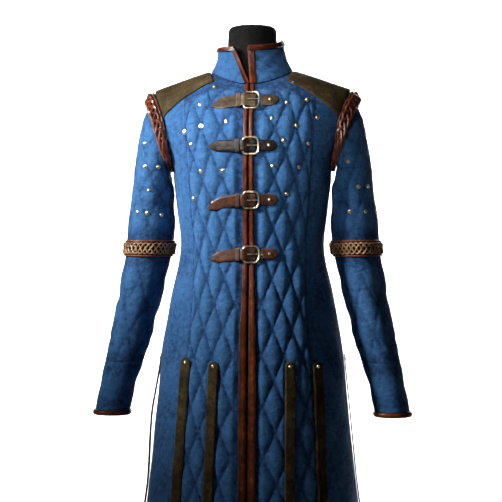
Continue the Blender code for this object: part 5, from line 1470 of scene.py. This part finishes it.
def side_lappet(side):
    """The strip at a side seam: fixed at its top, swinging off the skirt below it."""
    half, leather = LAPPET_WIDTH / 2, sizes_of().leather
    top, foot = SIDE_LAPPET["top_z"], LAPPET_FOOT_Z
    z = np.linspace(foot, top, 90)[:, None]
    share = (top - z) / (top - foot)
    swing = smooth_step(share * 3.2) * (1 - 0.65 * smooth_step((share - 0.30) / 0.35))
    away = SIDE_LAPPET["lift"] + SIDE_LAPPET["swing"][side] * swing
    w = np.linspace(-1, 1, 11)[None, :]
    x = read_curve(HALF_WIDTH, z) + away - 0.0004 * w * w
    width = half * (1 - 0.3 * smooth_step((z - top + 0.012) / 0.012))
    skin = leather * leather_profile((w + 1) / 2, 0.12)
    inner = stack(side * x, w * width, z)
    outer = stack(side * (x + skin), w * width, z)
    relief = np.where(np.abs(w) > 0.82, 0.85, 0.42)
    name = "lappet_side_" + side_word(side)
    piece = shell(name + "_leather", outer, inner, "olive_suede", cloth_layer(outer, relief))
    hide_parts(name)
    rivet_z = top - 0.010
    out = float(read_curve(HALF_WIDTH, rivet_z)) + SIDE_LAPPET["lift"] + leather
    head = dome(np.array((side * out, 0.0, rivet_z)), (float(side), 0.0, 0.0),
                sizes_of().rivet, RIVET_RISE)
    new_piece(name + "_rivet", *head, "old_brass")


def stud_places():
    """The chest studs' places, each moved to the nearest crossing of the quilting."""
    i, j = np.meshgrid(np.arange(PANEL_COLUMNS[-1] + 1.0), np.arange(ROWS + 1.0), indexing="ij")
    kind = (j + QUILT_SHIFT) % 4
    crossing = ((i % 4 == kind) & (i % 2 == 0)).ravel()
    i, j = i.ravel()[crossing], j.ravel()[crossing]
    places = []
    for x, z in FRONT_STUDS:
        near_x, near_z = panel_places(i / PANEL_COLUMNS[-1], j, 1 if x > 0 else -1, -1)
        away = np.hypot(near_x - x, near_z - z)
        k = away.argmin()
        places.append((near_x[k], near_z[k]) if away[k] < STUD_REACH else (x, z))
    return places


def front_studs():
    """Brass studs at the quilting crossings of the chest."""
    radius, parts = sizes_of().stud, []
    for x, z in stud_places():
        normal = body_normal(x, z, -1)
        parts.append(dome(body_point(x, z, -1) + normal * STUD_SEAT, normal, radius, STUD_RISE,
                          rim=STUD_RIM))
    new_piece("chest_studs", *join_parts(parts), "old_brass")


def sleeve_studs():
    """Brass studs on the upper sleeves, placed where the sleeve's front shows them."""
    radius, parts = sizes_of().stud, []
    share = np.linspace(0.02, 0.52, 160)[:, None] + np.zeros((1, 160))
    turn = np.zeros((160, 1)) + np.linspace(0.02, 0.48, 160)[None, :]
    for side in (-1, 1):
        points = sleeve_point(share, turn, side)
        normals = grid_normals(points)
        normals *= np.where(normals[..., 1:2] > 0, -1.0, 1.0)
        for at_side, x, z in SLEEVE_STUDS:
            if at_side != side:
                continue
            away = np.hypot(points[..., 0] - x, points[..., 2] - z)
            k = np.unravel_index(away.argmin(), away.shape)
            fold = crease_depth(points[k][None], turn[k][None])[0]
            parts.append(dome(points[k] + normals[k] * (STUD_SEAT - fold), normals[k], radius,
                              STUD_RISE, rim=STUD_RIM))
    new_piece("sleeve_studs", *join_parts(parts), "old_brass")


# The dress form and the stage
def revolve(profile, turn):
    """Rings of points for a profile of radius and height."""
    radius, height = np.asarray(profile, float).T[..., None]
    return stack(radius * np.sin(turn), -radius * np.cos(turn), height)


def closed_rings(name, rings, material):
    """A closed solid from rings of points, with its ends filled."""
    rows, sides = rings.shape[:2]
    faces = grid_faces(rows, sides, True, 0, False).tolist() + end_faces(rows, sides)
    return new_piece(name, rings.reshape(-1, 3), faces, material)


def torso():
    """The form's padded torso, just inside the coat, with its neck."""
    share = np.linspace(-1, 1, 61)
    tops = FORM_WIDEST * np.sin(np.pi / 2 * share)
    j = np.linspace(0, 1, 70)[:, None]
    spring = shoulder_height(tops) - SHOULDER_ROUNDING
    low_part = FORM_BOTTOM_Z + (spring - FORM_BOTTOM_Z) * np.minimum(j / 0.6, 1.0)
    z = low_part + SHOULDER_ROUNDING * np.sin(np.pi / 2 * np.clip((j - 0.6) / 0.4, 0, 1))
    reach = np.minimum(read_curve(HALF_WIDTH, z) * 0.985, FORM_WIDEST)
    x = tops * reach / FORM_WIDEST
    z = np.minimum(z, shoulder_height(x) - RIDGE_STOP)
    near = smooth_step(1.0 - (shoulder_height(x) - z) / FORM_SEAT["below"])
    neck = smooth_step((FORM_SEAT["x"] - np.abs(x)) / FORM_SEAT["fade"])
    sunk = (sizes_of().quilt_wall + FORM_SEAT["gap"] + FORM_CLEARANCE * (1 - near)
            + FORM_SEAT["neck_room"] * neck)[..., None]
    halves = []
    for face in (-1, 1):
        half = body_point(x, z, face) - body_normal(x, z, face) * sunk
        half[-1, :, 1] = 0.0
        half[0, :, 2] = FORM_BOTTOM_Z
        halves.append(half)
    rings = np.concatenate((halves[0], halves[1][:, ::-1]), axis=1)
    piece = closed_rings("form_torso_cloth", rings, "form_linen")
    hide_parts("form_torso")
    turn, (ends, radii) = full_turn(96), np.array(FORM_NECK).T
    z = np.linspace(*ends, 18)
    radius = np.interp(z, ends, radii)
    rings = revolve(np.stack((radius, z), axis=-1), turn)
    rumple = 0.0007 * cross_ripples(np.sin(turn)[None, :] * 4, z[:, None] * 130, 101)
    rings[..., :2] *= (1 + rumple / radius[:, None])[..., None]
    closed_rings("form_neck", rings, "form_linen")


def neck_cap():
    """Dark cloth gathered over the top of the neck."""
    turn, (heights, radii) = full_turn(144), np.array(CAP).T
    run = np.linspace(0, len(CAP) - 1, 73)
    z = np.interp(run, np.arange(len(CAP)), heights) + CAP_LEVEL_Z
    radius = np.interp(run, np.arange(len(CAP)), radii) * NECK_RADIUS
    rings = revolve(np.stack((radius, z), axis=-1), turn)
    gather = np.abs(np.sin(turn * 17 + 0.8 * np.sin(turn * 5)))[None, :] ** 0.6
    depth = 0.0011 * smooth_step((run - 3.0) / 3.0)[:, None] * smooth_step((9.2 - run) / 2)[:, None]
    rings[..., 2] -= depth * gather
    rumple = 0.0009 * cross_ripples(np.sin(turn)[None, :] * 3.5, z[:, None] * 110, 103)
    rumple = rumple * smooth_step((1.440 - z) / 0.02)[:, None]
    rings[..., :2] *= (1 - (0.4 * depth * gather + rumple) / NECK_RADIUS)[..., None]
    piece = closed_rings("form_neck_cap_cloth", rings, "cap_cloth")
    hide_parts("form_neck_cap")


def stand():
    """Turned base, pole and plate of the stand."""
    piece = closed_rings("form_stand_turned", revolve(STAND, full_turn(96)), "satin_paint")
    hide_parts("form_stand")


def area_light(name, energy, size, place, aim, spread):
    data = bpy.data.lights.new(name, "AREA")
    data.shape, data.size, data.size_y = "RECTANGLE", size[0], size[1]
    data.energy, data.spread = energy, math.radians(spread)
    lamp = bpy.data.objects.new(name, data)
    lamp.location = place
    direction = np.array(aim) - np.array(place)
    lamp.rotation_mode = "QUATERNION"
    lamp.rotation_quaternion = Vector(direction).to_track_quat("-Z", "Y")
    bpy.context.scene.collection.objects.link(lamp)


def camera_at(view):
    """A level camera that looks at the form's axis from the set angle."""
    turn = math.radians(view.azimuth)
    camera = bpy.data.objects.new("camera", bpy.data.cameras.new("camera"))
    camera.data.lens, camera.data.sensor_width = view.lens, 36.0
    camera.data.shift_x = view.shift
    camera.location = (math.sin(turn) * view.distance, -math.cos(turn) * view.distance,
                       view.height)
    camera.rotation_euler = (math.pi / 2, 0.0, turn)
    bpy.context.scene.collection.objects.link(camera)
    bpy.context.scene.camera = camera


def paper_floor():
    """Pale paper that lies on the floor and bends up into a wall behind."""
    radius = SET_WALL_Y - SET_BEND_Y
    line = [(SET_FRONT_Y, 0.0)]
    line += [(SET_BEND_Y + radius * math.sin(a), radius - radius * math.cos(a))
             for a in np.linspace(0, math.pi / 2, 16)]
    line.append((SET_WALL_Y, SET_TOP_Z))
    points = [(x, y, z) for y, z in line for x in (-SET_HALF, 0.0, SET_HALF)]
    mesh = bpy.data.meshes.new("studio_floor")
    mesh.from_pydata(points, [], grid_faces(len(line), 3, False, 0, False).tolist())
    mesh.shade_smooth()
    mesh.materials.append(bpy.data.materials["pale_paper"])
    floor = bpy.data.objects.new("studio_floor", mesh)
    bpy.context.scene.collection.objects.link(floor)


def studio(view):
    """Camera, pale floor and wall, and soft lamps."""
    camera_at(view)
    paper_floor()
    world = bpy.data.worlds.new("studio")
    world.use_nodes = True
    sky = world.node_tree.nodes["Background"]
    sky.inputs["Color"].default_value = (1.0, 1.0, 1.0, 1.0)
    sky.inputs["Strength"].default_value = view.sky
    bpy.context.scene.world = world
    bpy.context.scene.view_settings.view_transform = "Standard"
    for name, size, place, aim, spread in LAMPS:
        area_light(name, getattr(view, name), size, place, aim, spread)
    for end, x in (("left", -1.0), ("right", 1.0)):
        for name, share, place, aim in SET_LAMPS:
            area_light(name + end, view.wall * share, SET_LAMP_SIZE, (x * place[0], *place[1:]),
                       (x * aim[0], *aim[1:]), SET_LAMP_SPREAD)


class GambesonView(bpy.types.PropertyGroup):
    azimuth: number_prop("Azimuth", "Angle of the camera round the form", 4.0, -180.0, 180.0)
    distance: length_prop("Distance", "Camera from the form's axis", 2.70, 0.5, 20.0)
    height: length_prop("Height", "Camera above the floor", 0.985, 0.0, 5.0)
    lens: number_prop("Lens", "Focal length in millimetres", 93.1, 10.0, 300.0)
    shift: number_prop("Shift", "Sideways shift of the frame", -0.003, -0.1, 0.1)
    sky: number_prop("Surrounding light", "Strength of the even light", 0.020, 0.0, 5.0)
    key: number_prop("Key lamp", "Power of the left lamp", 4.2, 0.0, 1000.0)
    front: number_prop("Front lamp", "Power of the narrow front lamp", 0.45, 0.0, 1000.0)
    fill: number_prop("Fill lamp", "Power of the right lamp", 0.3, 0.0, 1000.0)
    rim: number_prop("Back lamp", "Power of the lamp behind", 0.3, 0.0, 1000.0)
    back: number_prop("Rear lamp", "Power of the lamp on the back", 9.0, 0.0, 1000.0)
    wall: number_prop("Wall lamps", "Power of the lamps on wall and floor", 130.0, 0.0, 5000.0)


# Operators
class GAMBESON_OT_finishes(bpy.types.Operator):
    """Makes every finish: linen, leathers, brass, form cloth, paint and paper"""
    bl_idname = "gambeson.finishes"
    bl_label = "Finishes"

    def execute(self, context):
        look = finish_of()
        for make_group in (weave_group, grain_group, wear_group, dust_group):
            make_group()
        for row in linens(look):
            linen_material(look, *row)
        for row in leathers(look):
            leather_material(look, *row)
        brass_material("old_brass", look.brass, (0.16, 0.085, 0.03), look)
        stand_material("satin_paint", (0.018, 0.018, 0.019))
        floor_material("pale_paper", (0.86, 0.86, 0.85))
        return {"FINISHED"}


class GAMBESON_OT_panels(bpy.types.Operator):
    """Quilted front and back panels and plain side panels, with their topstitching"""
    bl_idname = "gambeson.panels"
    bl_label = "Body panels"

    def execute(self, context):
        for side in (-1, 1):
            for face in (-1, 1):
                quilted_panel(side, face)
                side_panel(side, face)
                name = ("front" if face < 0 else "back") + "_seam_stitching_" + side_word(side)
                stitch_piece(name, seam_stitching(side, face))
        return {"FINISHED"}


class GAMBESON_OT_yokes(bpy.types.Operator):
    """Olive leather yokes over the shoulders"""
    bl_idname = "gambeson.yokes"
    bl_label = "Yokes"

    def execute(self, context):
        for side in (-1, 1):
            stitch_piece("yoke_stitching_" + side_word(side), yoke(side), 0.0034, 0.00040,
                         "tan_thread")
        return {"FINISHED"}


class GAMBESON_OT_sleeves(bpy.types.Operator):
    """Sleeves, cuffs and their bindings"""
    bl_idname = "gambeson.sleeves"
    bl_label = "Sleeves"

    def execute(self, context):
        for side in (-1, 1):
            sleeve(side)
            stitch_piece("cuff_stitching_" + side_word(side), cuff_stitching(side))
        return {"FINISHED"}


class GAMBESON_OT_bands(bpy.types.Operator):
    """Leather bands at the armholes and above the elbows, with plaited cords"""
    bl_idname = "gambeson.bands"
    bl_label = "Arm bands"

    def execute(self, context):
        for side in (-1, 1):
            word = side_word(side)
            leather_band("arm_band_" + word, side, arm_shares, ARM_BAND_LIFT, (12, 144),
                         ARM_CORDS, "plaited_cord")
            leather_band("armhole_band_" + word, side, band_shares, ARMHOLE_BAND_LIFT, (12, 168),
                         ARMHOLE_CORDS, "laced_leather")
        return {"FINISHED"}


class GAMBESON_OT_collar(bpy.types.Operator):
    """Stand collar with its leather rim, and the two front bindings"""
    bl_idname = "gambeson.collar"
    bl_label = "Collar and bindings"

    def execute(self, context):
        stitch_piece("collar_stitching", collar())
        for side in (-1, 1):
            stitch_piece("binding_stitching_" + side_word(side), front_binding(side), 0.0036,
                         0.00038, "tan_thread")
        return {"FINISHED"}


class GAMBESON_OT_straps(bpy.types.Operator):
    """Four straps with chapes, buckles, prongs, keepers and rivets"""
    bl_idname = "gambeson.straps"
    bl_label = "Straps"

    def execute(self, context):
        for row in STRAPS:
            strap(row)
        return {"FINISHED"}


class GAMBESON_OT_lappets(bpy.types.Operator):
    """Hanging olive strips on the skirt, with their rivets"""
    bl_idname = "gambeson.lappets"
    bl_label = "Lappets"

    def execute(self, context):
        for row in LAPPETS:
            stitch_piece(row[0] + "_stitching", lappet(row), 0.0034, 0.00038, "tan_thread")
        for side in (-1, 1):
            side_lappet(side)
        return {"FINISHED"}


class GAMBESON_OT_studs(bpy.types.Operator):
    """Brass studs at the quilting crossings of the chest and upper sleeves"""
    bl_idname = "gambeson.studs"
    bl_label = "Studs"

    def execute(self, context):
        front_studs()
        sleeve_studs()
        return {"FINISHED"}


class GAMBESON_OT_form(bpy.types.Operator):
    """The dress form: torso, neck, cap and turned stand"""
    bl_idname = "gambeson.form"
    bl_label = "Dress form"

    def execute(self, context):
        torso()
        neck_cap()
        stand()
        return {"FINISHED"}


class GAMBESON_OT_stage(bpy.types.Operator):
    """Camera, pale floor and soft lamps"""
    bl_idname = "gambeson.stage"
    bl_label = "Stage"

    def execute(self, context):
        studio(context.scene.gambeson_view)
        return {"FINISHED"}


OPERATORS = (GAMBESON_OT_finishes, GAMBESON_OT_stage, GAMBESON_OT_panels, GAMBESON_OT_yokes,
             GAMBESON_OT_sleeves, GAMBESON_OT_bands, GAMBESON_OT_collar, GAMBESON_OT_straps,
             GAMBESON_OT_lappets, GAMBESON_OT_studs, GAMBESON_OT_form)


class GAMBESON_PT_sidebar(bpy.types.Panel):
    """Lists the settings and the pieces"""
    bl_label = "Gambeson"
    bl_idname = "GAMBESON_PT_sidebar"
    bl_space_type = "VIEW_3D"
    bl_region_type = "UI"
    bl_category = "Gambeson"

    def draw(self, context):
        layout, scene = self.layout, context.scene
        for group in (scene.gambeson_finish, scene.gambeson_sizes, scene.gambeson_view):
            box = layout.box()
            for name in group.bl_rna.properties.keys():
                if name not in ("rna_type", "name"):
                    box.prop(group, name)
        for operator in OPERATORS:
            layout.operator(operator.bl_idname)


CLASSES = (GambesonFinish, GambesonSizes, GambesonView, *OPERATORS, GAMBESON_PT_sidebar)


def register():
    for one in CLASSES:
        bpy.utils.register_class(one)
    bpy.types.Scene.gambeson_finish = PointerProperty(type=GambesonFinish)
    bpy.types.Scene.gambeson_sizes = PointerProperty(type=GambesonSizes)
    bpy.types.Scene.gambeson_view = PointerProperty(type=GambesonView)


def unregister():
    del bpy.types.Scene.gambeson_view, bpy.types.Scene.gambeson_sizes
    del bpy.types.Scene.gambeson_finish
    for one in reversed(CLASSES):
        bpy.utils.unregister_class(one)


def main():
    register()
    for operator in OPERATORS:
        group, name = operator.bl_idname.split(".")
        getattr(getattr(bpy.ops, group), name)()


if __name__ == "__main__":
    main()
